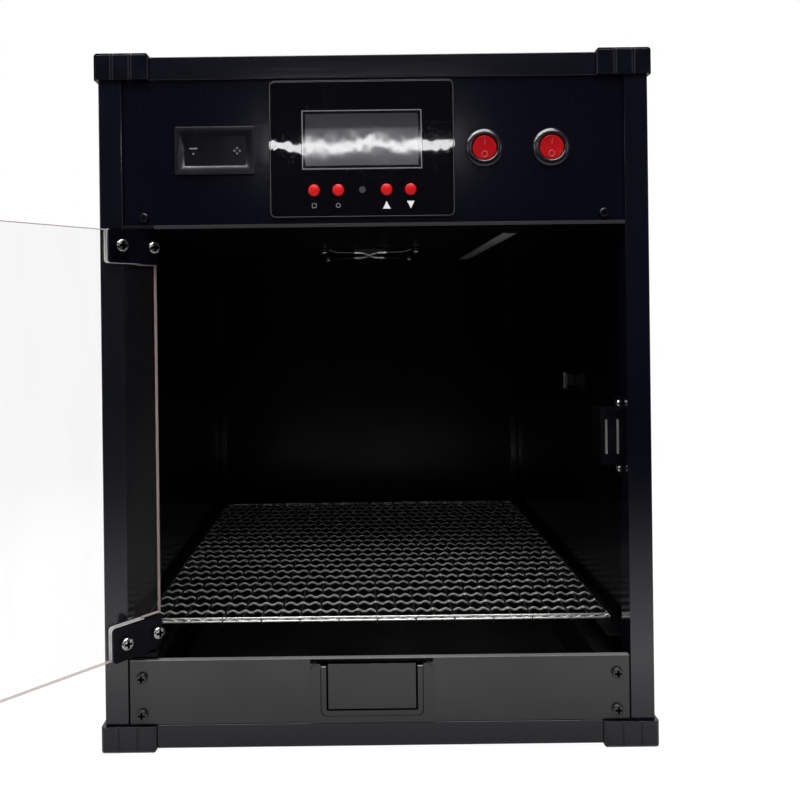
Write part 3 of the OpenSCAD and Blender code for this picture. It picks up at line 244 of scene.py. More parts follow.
@dataclass(frozen=True)
class Finish:
    """A finish: one colour with the roughness and gloss it has all over."""

    name: str
    colour: Colour
    roughness: float
    gloss: float = 0.5

    def inputs(self, graph: Graph) -> dict:
        """Principled inputs of the plain finish."""
        return {
            "Base Color": (*self.colour, 1.0),
            "Roughness": self.roughness,
            "Specular IOR Level": self.gloss,
        }

    def shader(self, graph: Graph) -> Link:
        """The whole surface."""
        return graph.node("ShaderNodeBsdfPrincipled", inputs=self.inputs(graph))

    def material(self) -> bpy.types.Material:
        """Make the material.

        Returns:
            A new material with this finish's nodes.
        """
        made = bpy.data.materials.new(self.name)
        made.use_nodes = True
        graph = Graph(made.node_tree)
        graph.surface(self.shader(graph))
        return made


class ShadePainted:
    """Mixed into a finish: dull black painted in places as shade."""

    # painted shade: a dull near-black finish mixed in where shade falls in recesses and on chamfers
    black = Finish("soot", (0.0006, 0.0006, 0.0006), 0.9, 0.0)

    def shade_mask(self, graph: Graph) -> Link:
        """One where the surface is painted black as shade."""
        raise NotImplementedError

    def shader(self, graph: Graph) -> Link:
        """The finish, and the painted shade of dull black where it lies."""
        return graph.blended(self.shade_mask(graph), super().shader(graph), self.black.shader(graph))


@dataclass(frozen=True)
class Moulded(Finish):
    """Moulded plastic: a fine spark-eroded grain, slight clouding and an optional clear skin."""

    grain: float = 1400.0
    depth: float = 0.06 * MM
    coat: float = 0.0
    coat_roughness: float = 0.08
    clouds: float = 55.0
    cloud_edge: Pair = (0.35, 0.7)
    paling: Pair = (1.35, 0.001)
    vary: Pair = (-0.05, 0.1)

    def inputs(self, graph: Graph) -> dict:
        """Grain in the normal, clouding in colour and roughness.

        Args:
            graph: the material's nodes.

        Returns:
            Inputs of the Principled node.
        """
        at = graph.place()
        cloud = graph.noise(at, self.clouds, 3.0)
        pale = toned(self.colour, *self.paling)
        return {
            **super().inputs(graph),
            "Base Color": graph.mixed(graph.ranged(cloud, *self.cloud_edge), self.colour, pale),
            "Roughness": self.roughness + self.vary[0] + cloud * self.vary[1],
            "Coat Weight": self.coat,
            "Coat Roughness": self.coat_roughness,
            "Normal": graph.bump(graph.noise(at, self.grain, 1.0), self.depth),
        }


@dataclass(frozen=True)
class Grooved(ShadePainted, Moulded):
    """Moulded plastic painted dull black past a depth behind its face, as shade in its grooves."""

    deep: float = 0.0

    def shade_mask(self, graph: Graph) -> Link:
        """One past the depth."""
        return graph.axis(graph.place(), "Y") > self.deep


@dataclass(frozen=True)
class HighlitShadedBlock(ShadePainted, Moulded):
    """Moulded corner blocks with chamfers painted dull black as shade, and painted highlight lines beside their
    grooves and at their inner ends.
    """

    outer: Triple = (0.0, 0.0, 0.0)
    arm: float = 16.2 * MM
    grooves: Pair = (11 * MM, 22 * MM)
    inner_end: float = 32.4 * MM
    off_groove: float = 0.75 * MM
    line_half: float = 0.3 * MM
    chamfer: float = 1.6 * MM
    # painted highlight: pale lines where the groove edges catch light
    groove_highlight: Colour = (0.012, 0.012, 0.015)

    def inward(self, graph: Graph) -> list[Link]:
        """Distances in from the outer side, from the front or back, and from the top."""
        at = graph.place()
        return [self.outer[n] - abs(graph.axis(at, name)) for n, name in enumerate("XYZ")]

    def lines(self, graph: Graph) -> Link:
        """One on the painted highlight lines, which lie on the arms along X alone.

        Args:
            graph: the material's nodes.

        Returns:
            The mask of the lines.
        """
        beside, deep, _ = self.inward(graph)
        lines = abs(beside - self.inner_end) < self.line_half
        for groove in self.grooves:
            lines = lines.most(abs(abs(beside - groove) - self.off_groove) < self.line_half)
        return lines * (deep < self.arm)

    def inputs(self, graph: Graph) -> dict:
        """Moulded plastic with the painted highlight lines in its colour."""
        plain = super().inputs(graph)
        return {**plain, "Base Color": graph.mixed(self.lines(graph), plain["Base Color"], self.groove_highlight)}

    def shade_mask(self, graph: Graph) -> Link:
        """One on the chamfers of the front and back, between the lines, where they are painted black as shade."""
        beside, deep, below = self.inward(graph)
        return (deep < self.chamfer) * (beside.least(below) < self.chamfer) * (1.0 - self.lines(graph))


@dataclass(frozen=True)
class GlossSheet(Finish):
    """Black gloss sheet: slight orange peel, and fine dust that dulls it here and there."""

    peel: float = 0.03 * MM
    peel_scale: float = 160.0
    dust: float = 0.02
    film: float = 0.0
    specks: float = 900.0
    speck_edge: Pair = (0.66, 0.74)
    haze: float = 9.0
    haze_edge: Pair = (0.45, 0.75)
    dusted: Pair = (0.6, 0.15)
    dulled: Pair = (0.2, 0.05)

    def inputs(self, graph: Graph) -> dict:
        """Peel or a film's waves in the normal, dust in colour and roughness.

        Args:
            graph: the material's nodes.

        Returns:
            Inputs of the Principled node.
        """
        at = graph.place()
        specks = graph.ranged(graph.noise(at, self.specks), *self.speck_edge)
        haze = graph.ranged(graph.noise(at, self.haze, 4.0), *self.haze_edge)
        dust = specks * self.dusted[0] + haze * self.dusted[1]
        dusty = toned(self.colour, 1.0, self.dust)
        if self.film:
            normal = graph.film(at, self.film)
        else:
            normal = graph.bump(graph.noise(at, self.peel_scale, 1.0), self.peel)
        return {
            **super().inputs(graph),
            "Base Color": graph.mixed(dust, self.colour, dusty),
            "Roughness": self.roughness + specks * self.dulled[0] + haze * self.dulled[1],
            "Normal": normal,
        }


@dataclass(frozen=True)
class DrawnTube(Finish):
    """Black anodised tube with fine drawing lines along its length."""

    run: Along = Along.UPRIGHT
    post_line: float = 158.5 * MM
    depth: float = 0.02 * MM
    fineness: float = 1500.0
    stretch: float = 0.012
    clouds: float = 24.0
    tint: Pair = (0.7, 0.2)
    paling: Pair = (1.5, 0.001)
    vary: Triple = (-0.06, 0.08, 0.06)

    def drawn(self, graph: Graph, at: Link, axis: int) -> Link:
        """Noise stretched along one axis."""
        scale = tuple(self.stretch if n == axis else 1.0 for n in range(3))
        return graph.noise(graph.stretched(at, scale), self.fineness)

    def lines(self, graph: Graph, at: Link) -> Link:
        """Drawing lines along the tube, for level tubes by which pair they are.

        Args:
            graph: the material's nodes.
            at: the place on the tube.

        Returns:
            The lines, from 0 to 1.
        """
        if self.run is Along.UPRIGHT:
            return self.drawn(graph, at, 2)
        front_or_back = abs(graph.axis(at, "Y")) > self.post_line
        return self.drawn(graph, at, 0) * front_or_back + self.drawn(graph, at, 1) * (1.0 - front_or_back)

    def inputs(self, graph: Graph) -> dict:
        """Lines in colour, roughness and normal.

        Args:
            graph: the material's nodes.

        Returns:
            Inputs of the Principled node.
        """
        at = graph.place()
        lines = self.lines(graph, at)
        cloud = graph.noise(at, self.clouds, 3.0)
        tint = lines * self.tint[0] + cloud * self.tint[1]
        level, by_line, by_cloud = self.vary
        return {
            **super().inputs(graph),
            "Base Color": graph.mixed(tint, self.colour, toned(self.colour, *self.paling)),
            "Roughness": self.roughness + level + lines * by_line + cloud * by_cloud,
            "Normal": graph.bump(lines, self.depth),
        }


@dataclass(frozen=True)
class CoatedSheet(Finish):
    """Powder-coated sheet: a pebbled skin, and a thin pale painted highlight along one edge."""

    edge_way: Triple | None = None
    edge_at: float = 0.0
    edge_highlight_colour: Colour = (0.4, 0.4, 0.4)
    edge_from: float = -1.0
    highlight_mix: Pair = (0.55, 0.5)
    pebbles: float = 1100.0
    depth: float = 0.04 * MM
    clouds: float = 18.0
    cloud_edge: Pair = (0.3, 0.75)
    paling: Pair = (1.25, 0.004)
    vary: Pair = (-0.04, 0.1)

    def inputs(self, graph: Graph) -> dict:
        """Pebbles in the normal, and a painted highlight on the edge where the place passes its limit.

        Args:
            graph: the material's nodes.

        Returns:
            Inputs of the Principled node.
        """
        at = graph.place()
        pebbles = graph.noise(at, self.pebbles)
        cloud = graph.noise(at, self.clouds, 3.0)
        pale = toned(self.colour, *self.paling)
        colour = graph.mixed(graph.ranged(cloud, *self.cloud_edge), self.colour, pale)
        # painted highlight: the edge is pale where it catches light
        if self.edge_way:
            past = (graph.along(at, self.edge_way) > self.edge_at) * (graph.axis(at, "X") > self.edge_from)
            colour = graph.mixed(past * (self.highlight_mix[0] + cloud * self.highlight_mix[1]), colour, self.edge_highlight_colour)
        return {
            **super().inputs(graph),
            "Base Color": colour,
            "Roughness": self.roughness + self.vary[0] + pebbles * self.vary[1],
            "Normal": graph.bump(pebbles, self.depth),
        }


@dataclass(frozen=True)
class Plated(Finish):
    """Bright metal with faint drawing marks and some dull patches, or a metal-like coating."""

    scratch: float = SMOOTH
    metal: float = 1.0
    marks: float = 2200.0
    clouds: float = 90.0
    cloud_edge: Pair = (0.4, 0.7)
    dulling: float = 0.72
    vary: Pair = (-0.05, 0.12)

    def inputs(self, graph: Graph) -> dict:
        """Marks in the normal, patches in colour and roughness.

        Args:
            graph: the material's nodes.

        Returns:
            Inputs of the Principled node.
        """
        at = graph.place()
        cloud = graph.noise(at, self.clouds, 3.0)
        dull = toned(self.colour, self.dulling)
        return {
            **super().inputs(graph),
            "Base Color": graph.mixed(graph.ranged(cloud, *self.cloud_edge), self.colour, dull),
            "Metallic": self.metal,
            "Roughness": self.roughness + self.vary[0] + cloud * self.vary[1],
            "Normal": graph.bump(graph.noise(at, self.marks, 1.0), self.scratch),
        }


@dataclass(frozen=True)
class CrossHead(ShadePainted, Plated):
    """Screws in two columns and two rows on an upright sheet, with the cross recess of each head painted black as
    shade.
    """

    pivot: Triple = (0.0, 0.0, 0.0)
    angle: float = 0.0
    middle: Pair = (0.0, 0.0)
    half: Pair = (0.0, 0.0)
    arm: Pair = (2.5 * MM, 0.75 * MM)

    def shade_mask(self, graph: Graph) -> Link:
        """On the sheet turned back about its pivot, one within either bar of the nearest screw's cross.

        Args:
            graph: the material's nodes.

        Returns:
            The mask of the crosses.
        """
        back = graph.node("ShaderNodeMapping", {"vector_type": "TEXTURE"}, {
            "Vector": graph.place(), "Location": self.pivot, "Rotation": (0.0, 0.0, -self.angle)})
        beside, above = (abs(abs(graph.axis(back, name) - self.middle[n]) - self.half[n])
                         for n, name in enumerate("XZ"))
        # painted shade: the cross recess is painted black
        level = (beside < self.arm[0]) * (above < self.arm[1])
        upright = (above < self.arm[0]) * (beside < self.arm[1])
        return level.most(upright)


@dataclass(frozen=True)
class ClearSheet(Finish):
    """Clear acrylic: see-through, with faint wiping marks that show as gloss."""

    alpha: float = 0.1
    ior: float = 1.49
    wipes: float = 60.0
    wipe_stretch: Triple = (1, 1, 0.15)
    smear_edge: Pair = (0.5, 0.8)
    smear_rough: float = 0.06
    streak_edge: Pair = (0.5, 0.9)
    streak_alpha: float = 0.03

    def inputs(self, graph: Graph) -> dict:
        """Wiping marks in roughness and alpha.

        Args:
            graph: the material's nodes.

        Returns:
            Inputs of the Principled node.
        """
        wiped = graph.noise(graph.stretched(graph.place(), self.wipe_stretch), self.wipes, 3.0)
        return {
            **super().inputs(graph),
            "IOR": self.ior,
            "Roughness": self.roughness + graph.ranged(wiped, *self.smear_edge) * self.smear_rough,
            "Alpha": self.alpha + graph.ranged(wiped, *self.streak_edge) * self.streak_alpha,
        }


@dataclass(frozen=True)
class DisplayGlass(Finish):
    """Display behind glass: a pale line round a dark gap, and a screen painted lighter towards its bottom as a
    reflection.
    """

    middle: Pair = (0.0, 0.0)
    half: Pair = (0.0, 0.0)
    line: float = 0.6 * MM
    gap: float = 2.2 * MM
    line_colour: Colour = (0.1, 0.1, 0.105)
    gap_colour: Colour = (0.0012, 0.0012, 0.002)
    low_reflection_colour: Colour = (0.045, 0.045, 0.05)
    shaded_between: Pair = (0.32, 0.42)
    film: float = FILM_WAVES
    flecks: float = 420.0
    fleck_tint: float = 0.04
    fleck_rough: float = 0.02

    def inputs(self, graph: Graph) -> dict:
        """The distance to the nearest side sorts line, gap and screen.

        Args:
            graph: the material's nodes.

        Returns:
            Inputs of the Principled node.
        """
        at = graph.place()
        beside = abs(graph.axis(at, "X") - self.middle[0]) - self.half[0]
        above = graph.axis(at, "Z") - self.middle[1]
        outside = beside.most(abs(above) - self.half[1])
        # painted reflection: the screen is lighter low down and darker high up
        shade = graph.ranged(above, *(share * self.half[1] for share in self.shaded_between))
        flecks = graph.noise(at, self.flecks)
        screen = graph.mixed(shade + (flecks - 0.5) * self.fleck_tint, self.low_reflection_colour, self.colour)
        framed = graph.mixed(outside > -self.gap, screen, self.gap_colour)
        return {
            **super().inputs(graph),
            "Base Color": graph.mixed(outside > -self.line, framed, self.line_colour),
            "Roughness": self.roughness + flecks * self.fleck_rough,
            "Normal": graph.film(at, self.film),
        }


@dataclass(frozen=True)
class Diffuser(Finish):
    """Frosted strip, clouded white with a fine frost; a rim along its sides and ends is painted dark as shade."""

    middle: Pair = (0.0, 0.0)
    half: Pair = (0.0, 0.0)
    rim: Pair = (1.4 * MM, 3 * MM)
    shade_rim_colour: Colour = (0.0015, 0.0015, 0.002)
    frosting: float = 1800.0
    frost_rough: float = 0.1
    depth: float = 0.05 * MM
    clouds: float = 70.0
    cloud_stretch: Triple = (1, 0.1, 1)
    dulling: float = 0.8

    def inputs(self, graph: Graph) -> dict:
        """Frost in the normal, clouding in colour, and painted shade round the strip.

        Args:
            graph: the material's nodes.

        Returns:
            Inputs of the Principled node.
        """
        at = graph.place()
        # painted shade: the sides and ends of the strip are dark
        beside, along = (abs(graph.axis(at, name) - self.middle[n]) > self.half[n] - self.rim[n]
                         for n, name in enumerate("XY"))
        frost = graph.noise(at, self.frosting, 1.0)
        cloud = graph.noise(graph.stretched(at, self.cloud_stretch), self.clouds)
        strip = graph.mixed(cloud, self.colour, toned(self.colour, self.dulling))
        return {
            **super().inputs(graph),
            "Base Color": graph.mixed(beside.most(along), strip, self.shade_rim_colour),
            "Roughness": self.roughness + frost * self.frost_rough,
            "Normal": graph.bump(frost, self.depth),
        }


def grid_quads(rows: int, columns: int, closed_rows: bool = False) -> np.ndarray:
    """Quads between neighbours of a grid of points, row after row, where a row's last point meets its first.

    Args:
        rows: rows of the grid.
        columns: points in a row.
        closed_rows: whether the last row meets the first.

    Returns:
        An array of four point numbers a face.
    """
    i = np.arange(rows if closed_rows else rows - 1)[:, None]
    j = np.arange(columns)[None, :]
    i_next, j_next = (i + 1) % rows, (j + 1) % columns
    corner = [i * columns + j, i * columns + j_next, i_next * columns + j_next, i_next * columns + j]
    return np.stack(corner, -1).reshape(-1, 4)


@dataclass
class Surface:
    """Points and faces of a shape, before it is a mesh; each block of faces has one number of corners."""

    points: np.ndarray
    blocks: list[np.ndarray]
    finish_of: np.ndarray | None = None

    def __add__(self, other: "Surface") -> "Surface":
        """Two shapes as one, in their first finish."""
        moved = [len(self.points) + block for block in other.blocks]
        return Surface(np.vstack([self.points, other.points]), self.blocks + moved)

    def plain(self) -> "Surface":
        """The shape in its first finish alone."""
        return Surface(self.points, self.blocks)

    def shifted(self, offset: Sequence[float]) -> "Surface":
        """The shape moved by an offset."""
        return Surface(self.points + np.asarray(offset, float), self.blocks, self.finish_of)

    def turned(self, degrees: float, axis: str) -> "Surface":
        """The shape turned about the origin, by the right-hand rule."""
        turn = np.array(Matrix.Rotation(math.radians(degrees), 3, axis))
        return Surface(self.points @ turn.T, self.blocks, self.finish_of)

    def sorted_by(self, axis: int, limit: float, middle: float) -> "Surface":
        """The shape with its second finish where a face lies past a limit from a middle along an axis.

        Args:
            axis: the axis, by its place in a point.
            limit: the greatest distance for the first finish.
            middle: where the distance starts.

        Returns:
            The shape with the number of each face's finish.
        """
        first = np.concatenate([block[:, 0] for block in self.blocks])
        past = np.abs(self.points[first, axis] - middle) > limit
        return Surface(self.points, self.blocks, past.astype(int))

    def piece(self, name: str, finishes: Sequence[bpy.types.Material], body: str, slot: str,
              replaced: Sequence[str] = (), smooth: bool = True) -> bpy.types.Object:
        """Put the shape into the scene as a piece that rides a body.

        Args:
            name: the piece's name.
            finishes: its materials, by the numbers in finish_of.
            body: the body that it moves with.
            slot: the record's slot for its finish; not used.
            replaced: nodes that it stands for.
            smooth: whether its faces shade smoothly between sharp edges.

        Returns:
            The new object.
        """
        mesh = bpy.data.meshes.new(name)
        mesh.from_pydata(self.points.tolist(), [], sum((block.tolist() for block in self.blocks), []))
        if self.finish_of is not None:
            mesh.polygons.foreach_set("material_index", self.finish_of)
        work = bmesh.new()
        work.from_mesh(mesh)
        bmesh.ops.remove_doubles(work, verts=work.verts, dist=MERGED_WITHIN)
        bmesh.ops.recalc_face_normals(work, faces=work.faces)
        work.to_mesh(mesh)
        work.free()
        for finish in finishes:
            mesh.materials.append(finish)
        if smooth:
            mesh.shade_smooth()
            mesh.set_sharp_from_angle(angle=SHARP_PAST)
        made = bpy.data.objects.new(name, mesh)
        bpy.context.scene.collection.objects.link(made)
        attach(made, body)
        if replaced:
            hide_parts(*replaced)
        LOG.info("%s rides %s with %d points", name, body, len(mesh.vertices))
        return made


def circle(radius: float, count: int) -> np.ndarray:
    """Points of a level circle about the origin."""
    turn = np.linspace(0.0, 2 * np.pi, count, endpoint=False)
    return radius * np.stack([np.cos(turn), np.sin(turn), 0 * turn], -1)


def round_bars(paths: np.ndarray, radius: float, sides: int, across: np.ndarray,
               closed: bool = False) -> Surface:
    """Round bars along flat paths: a circle carried along each path, square to it.

    Args:
        paths: points, as bars by points by three.
        radius: radius of a bar.
        sides: points round a bar.
        across: direction square to the plane of the paths.
        closed: whether each path is a loop.

    Returns:
        All the bars as one shape, with flat ends where they are open.
    """
    bars, count, _ = paths.shape
    ahead = np.roll(paths, -1, 1) - np.roll(paths, 1, 1) if closed else np.gradient(paths, axis=1)
    ahead /= np.linalg.norm(ahead, axis=-1, keepdims=True)
    normal = np.cross(across, ahead)
    ring = circle(radius, sides)
    points = paths[:, :, None, :] + ring[:, :1] * normal[:, :, None, :] + ring[:, 1:2] * across
    starts = np.arange(bars)[:, None] * count * sides
    blocks = [(grid_quads(count, sides, closed)[None] + starts[:, :, None]).reshape(-1, 4)]
    if not closed:
        cap = starts + np.arange(sides)[None, :]
        blocks += [cap, cap + (count - 1) * sides]
    return Surface(points.reshape(-1, 3), blocks)


def lathe(profile: Sequence[Pair], segments: int = 48) -> Surface:
    """A profile of radius and height turned about Z.

    Args:
        profile: points of radius and height.
        segments: points round a turn.

    Returns:
        The turned shape, closed where the profile meets the axis.
    """
    rz = np.asarray(profile, float)
    points = rz[:, 0, None, None] * circle(1.0, segments)[None] + rz[:, 1, None, None] * UP
    return Surface(points.reshape(-1, 3), [grid_quads(len(rz), segments)])


def round_rectangle(width: float, height: float, radius: float, steps: int = 6) -> np.ndarray:
    """Outline of a rectangle about the origin with quarter circles at its corners.

    Args:
        width: its whole width.
        height: its whole height.
        radius: radius of a corner.
        steps: parts of a quarter circle.

    Returns:
        Points in two axes, counter-clockwise.
    """
    turn = np.linspace(0.0, np.pi / 2, steps + 1)
    quarter = np.arange(4)[:, None] * np.pi / 2 + turn[None]
    signs = np.array([[1, 1], [-1, 1], [-1, -1], [1, -1]])[:, None, :]
    centres = signs * (np.array([width, height]) / 2 - radius)
    arcs = centres + radius * np.stack([np.cos(quarter), np.sin(quarter)], -1)
    return arcs.reshape(-1, 2)


def drawn_in(outline: np.ndarray, amount: float) -> np.ndarray:
    """A counter-clockwise outline moved inwards: each point goes along the sum of its sides' normals.

    Args:
        outline: points in two axes.
        amount: how far each side moves.

    Returns:
        As many points.
    """
    ahead = np.roll(outline, -1, 0) - outline
    ahead /= np.linalg.norm(ahead, axis=1, keepdims=True)
    inward = np.stack([-ahead[:, 1], ahead[:, 0]], -1)
    before = np.roll(inward, 1, 0)
    share = 1.0 + np.sum(inward * before, axis=1, keepdims=True)
    return outline + amount * (inward + before) / share


def stood_up(outline: np.ndarray, y: float) -> np.ndarray:
    """An outline in X and Z at one depth."""
    return np.stack([outline[:, 0], np.full(len(outline), y), outline[:, 1]], -1)


def plate(outline: np.ndarray, front: float, back: float, edge: float) -> Surface:
    """A plate across Y with a small bevel round its front and back; its rim has the second finish.

    Args:
        outline: points in X and Z.
        front: depth of its face.
        back: depth of its back.
        edge: width of the bevel.

    Returns:
        The closed plate.
    """
    small = drawn_in(outline, edge)
    loops = [stood_up(small, front), stood_up(outline, front + edge),
             stood_up(outline, back - edge), stood_up(small, back)]
    count = len(outline)
    sides = grid_quads(4, count)
    caps = np.arange(count)[None] + np.array([[0], [3 * count]])
    return Surface(np.vstack(loops), [caps, sides], np.repeat([0, 1], [len(caps), len(sides)]))


def band(outer: np.ndarray, width: float, front: float, back: float) -> Surface:
    """A flat band across Y from an outline to the same outline drawn in.

    Args:
        outer: points in X and Z.
        width: how far the inner outline is drawn in.
        front: depth of its face.
        back: depth of its back.

    Returns:
        The closed band.
    """
    inner = drawn_in(outer, width)
    loops = [stood_up(outer, front), stood_up(inner, front), stood_up(inner, back), stood_up(outer, back)]
    return Surface(np.vstack(loops), [grid_quads(4, len(outer), closed_rows=True)])


def corners(node: str) -> tuple[np.ndarray, np.ndarray]:
    """Low and high corner of a solid's box."""
    low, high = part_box(node)
    return np.array(low), np.array(high)


def extent(node: str, first: int, second: int) -> tuple[Pair, Pair]:
    """Middle and half size of a solid's box along two axes.

    Args:
        node: the solid's node.
        first: the first axis, by its place.
        second: the second axis, by its place.

    Returns:
        The two middles and the two half sizes.
    """
    low, high = corners(node)
    middle, half = (low + high) / 2, (high - low) / 2
    return (middle[first], middle[second]), (half[first], half[second])


def joint(name: str) -> dict:
    """The record's joint of a name."""
    return next(found for found in frame["joints"] if found["name"] == name)


@dataclass
class Palette:
    """The finishes by name, each made once, with their marks placed by the solids that carry them."""

    edge_line: float = 0.4 * MM
    pull_face: float = 1 * MM
    clamp_columns: Pair = (-5 * MM, 15.5 * MM)
    clamp_rows_in: float = 10 * MM
    drawer_head_r: float = 3.3 * MM
    drawer_cross: Pair = (2.1 * MM, 0.65 * MM)

    def __post_init__(self) -> None:
        """Make every finish."""
        groups = (self.framework(), self.sheets(), self.plastics(), self.displays(), self.screws(),
                  self.metals())
        self.made = {finish.name: finish.material() for group in groups for finish in group}

    def __getitem__(self, name: str) -> bpy.types.Material:
        """The finish of a name."""
        return self.made[name]

    def framework(self) -> list[Finish]:
        """Tubes and corner blocks.

        Returns:
            The finishes.
        """
        outer = tuple(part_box("corner_blocks_top")[1])
        return [
            DrawnTube("black_tube", INK, 0.13, 0.75),
            DrawnTube("black_rail", INK, 0.16, 0.6, run=Along.LEVEL),
            Moulded("corner_plastic", INK, 0.15, 0.6, depth=SMOOTH),
            HighlitShadedBlock("rubbed_block", INK, 0.15, 0.6, depth=SMOOTH, outer=outer),
        ]

    def sheets(self) -> list[Finish]:
        """Gloss, coated and clear sheets.

        Returns:
            The finishes.
        """
        ceiling_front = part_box("ceiling_panel")[0].y
        drawer_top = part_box("drawer_front")[1].z
        return [
            GlossSheet("wall_panel", (0.0008, 0.0008, 0.0016), 0.2, 0.25, dust=0.002),
            GlossSheet("fascia_black", (0.0011, 0.0011, 0.0034), 0.15, 0.3, dust=0.0008),
            GlossSheet("control_gloss", (0.0012, 0.0012, 0.002), 0.015, 0.5, dust=0.002, film=FILM_WAVES),
            CoatedSheet("coated_sheet", (0.0006, 0.0006, 0.001), 0.42, 0.05),
            # ceiling and drawer: a painted highlight along the ceiling's front edge and the drawer's top edge
            CoatedSheet("ceiling_sheet", (0.0015, 0.0015, 0.003), 0.34, 0.3, edge_way=(0.0, -1.0, 0.0),
                        edge_at=-ceiling_front - self.edge_line, edge_highlight_colour=(0.016, 0.016, 0.018),
                        edge_from=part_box("upper_hinge_clamp")[1].x),
            CoatedSheet("drawer_sheet", GRAPHITE, 0.22, 0.68, edge_way=(0.0, 0.0, 1.0),
                        edge_at=drawer_top - self.edge_line, edge_highlight_colour=(0.12, 0.12, 0.12)),
            ClearSheet("clear_acrylic", (0.04, 0.04, 0.045), 0.03, 0.9, alpha=0.04),
            # painted reflection: the sheet's edges are pinkish brown where light reflects and refracts in them
            ClearSheet("acrylic_edge", (0.26, 0.2, 0.185), 0.3, 0.5, alpha=0.8),
        ]

    def plastics(self) -> list[Finish]:
        """Cases, buttons, rockers, hinge clamps, the drawer's pull and prints.

        Returns:
            The finishes.
        """
        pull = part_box("pull_plate")[0].y
        return [
            # pull_black: painted shade, dull black on the groove floors behind the pull's face
            Grooved("pull_black", GRAPHITE, 0.22, 0.68, 1800.0, deep=pull + self.pull_face),
            Moulded("case_plastic", (0.002, 0.002, 0.0035), 0.24, 0.5),
            Moulded("catch_plastic", (0.001, 0.001, 0.0016), 0.2, 0.2, depth=SMOOTH),
            Moulded("bezel_plastic", (0.002, 0.002, 0.0035), 0.24, 0.7, depth=SMOOTH),
            Moulded("button_red", (0.29, 0.001, 0.002), 0.3, 0.2, FINE_GRAIN, SMOOTH, 0.1),
            Moulded("rocker_red", (0.23, 0.0015, 0.003), 0.2, 0.5, FINE_GRAIN, SMOOTH, 0.5),
            Moulded("rocker_sign", (0.2, 0.04, 0.042), 0.35, 0.4, FINE_GRAIN, SMOOTH),
            Moulded("lamp_dark", (0.012, 0.013, 0.014), 0.2, 0.5, FINE_GRAIN, SMOOTH, 0.5),
            Moulded("clamp_black", (0.0008, 0.0008, 0.002), 0.14, 0.07, depth=SMOOTH),
            Moulded("pad_clear", (0.42, 0.41, 0.4), 0.3, 0.5),
            # painted highlight: the faint outline stands in for the plate's lit rim
            Moulded("print_faint", (0.03, 0.03, 0.032), 0.5, 0.3),
            Moulded("print_grey", (0.09, 0.09, 0.095), 0.5, 0.3),
            Moulded("print_pale", (0.4, 0.4, 0.4), 0.5, 0.3),
        ]

    def displays(self) -> list[Finish]:
        """The controller's screen, the thermometer's window and the light strip.

        Returns:
            The finishes.
        """
        return [
            DisplayGlass("display_grey", (0.018, 0.018, 0.021), 0.05, 0.7, *extent("lcd_window", 0, 2)),
            DisplayGlass("meter_window", (0.001, 0.001, 0.002), 0.2, 0.3, *extent("thermometer_window", 0, 2),
                         line=0.0, gap=0.0, low_reflection_colour=(0.003, 0.003, 0.004), shaded_between=(-1.0, 1.0)),
            Diffuser("lamp_diffuser", (0.1, 0.1, 0.105), 0.5, 0.1, *extent("light_bar", 0, 1)),
        ]

    def screws(self) -> list[Finish]:
        """Screws whose cross recesses are painted black as shade: on the hinge clamps, with the door open, and on
        the drawer.

        Returns:
            The finishes.
        """
        hinge = joint("door_swing")
        left, right = self.clamp_columns
        (_, covers), (_, tall) = extent("hinge_cover_plates", 0, 2)
        drawer, reach = extent("drawer_screws", 0, 2)
        drawer_half = (reach[0] - self.drawer_head_r, reach[1] - self.drawer_head_r)
        return [
            CrossHead("clamp_screw", STEEL, 0.2, pivot=(*hinge["pos_m"][:2], 0.0),
                      angle=math.radians(hinge["range_deg"][1]), middle=((left + right) / 2, covers),
                      half=((right - left) / 2, tall - self.clamp_rows_in)),
            CrossHead("drawer_screw", (0.009, 0.009, 0.0095), 0.24, 0.68, metal=0.0, middle=drawer,
                      half=drawer_half, arm=self.drawer_cross),
        ]

    def metals(self) -> list[Finish]:
        """Wires, poles, the probe and other metal.

        Returns:
            The finishes.
        """
        return [
            Plated("bright_steel", STEEL, 0.2),
            Plated("probe_steel", (0.16, 0.16, 0.16), 0.3),
            Plated("black_screw", (0.03, 0.03, 0.034), 0.3),
            Plated("floor_wire", BRIGHT_WIRE, 0.22, metal=0.83),
            # floor wires: lit and shaded copies of one steel, painted light and shade
            Plated("rim_wire", (0.74, 0.73, 0.71), 0.25, scratch=SMOOTH / 10, metal=0.85),
            Plated("cross_wire", (0.18, 0.18, 0.176), 0.3),
            # fan guard wires: painted shade on the rings and arm ends, painted light on the arm middles
            Plated("guard_ring", (0.025, 0.025, 0.026), 0.35),
            Plated("guard_end", (0.09, 0.09, 0.088), 0.3),
            Plated("guard_arm", BRIGHT_WIRE, 0.25, metal=0.5),
            Plated("pole_steel", (0.15, 0.142, 0.135), 0.3, metal=0.5),
            Plated("heater_alloy", (0.03, 0.03, 0.032), 0.5),
        ]


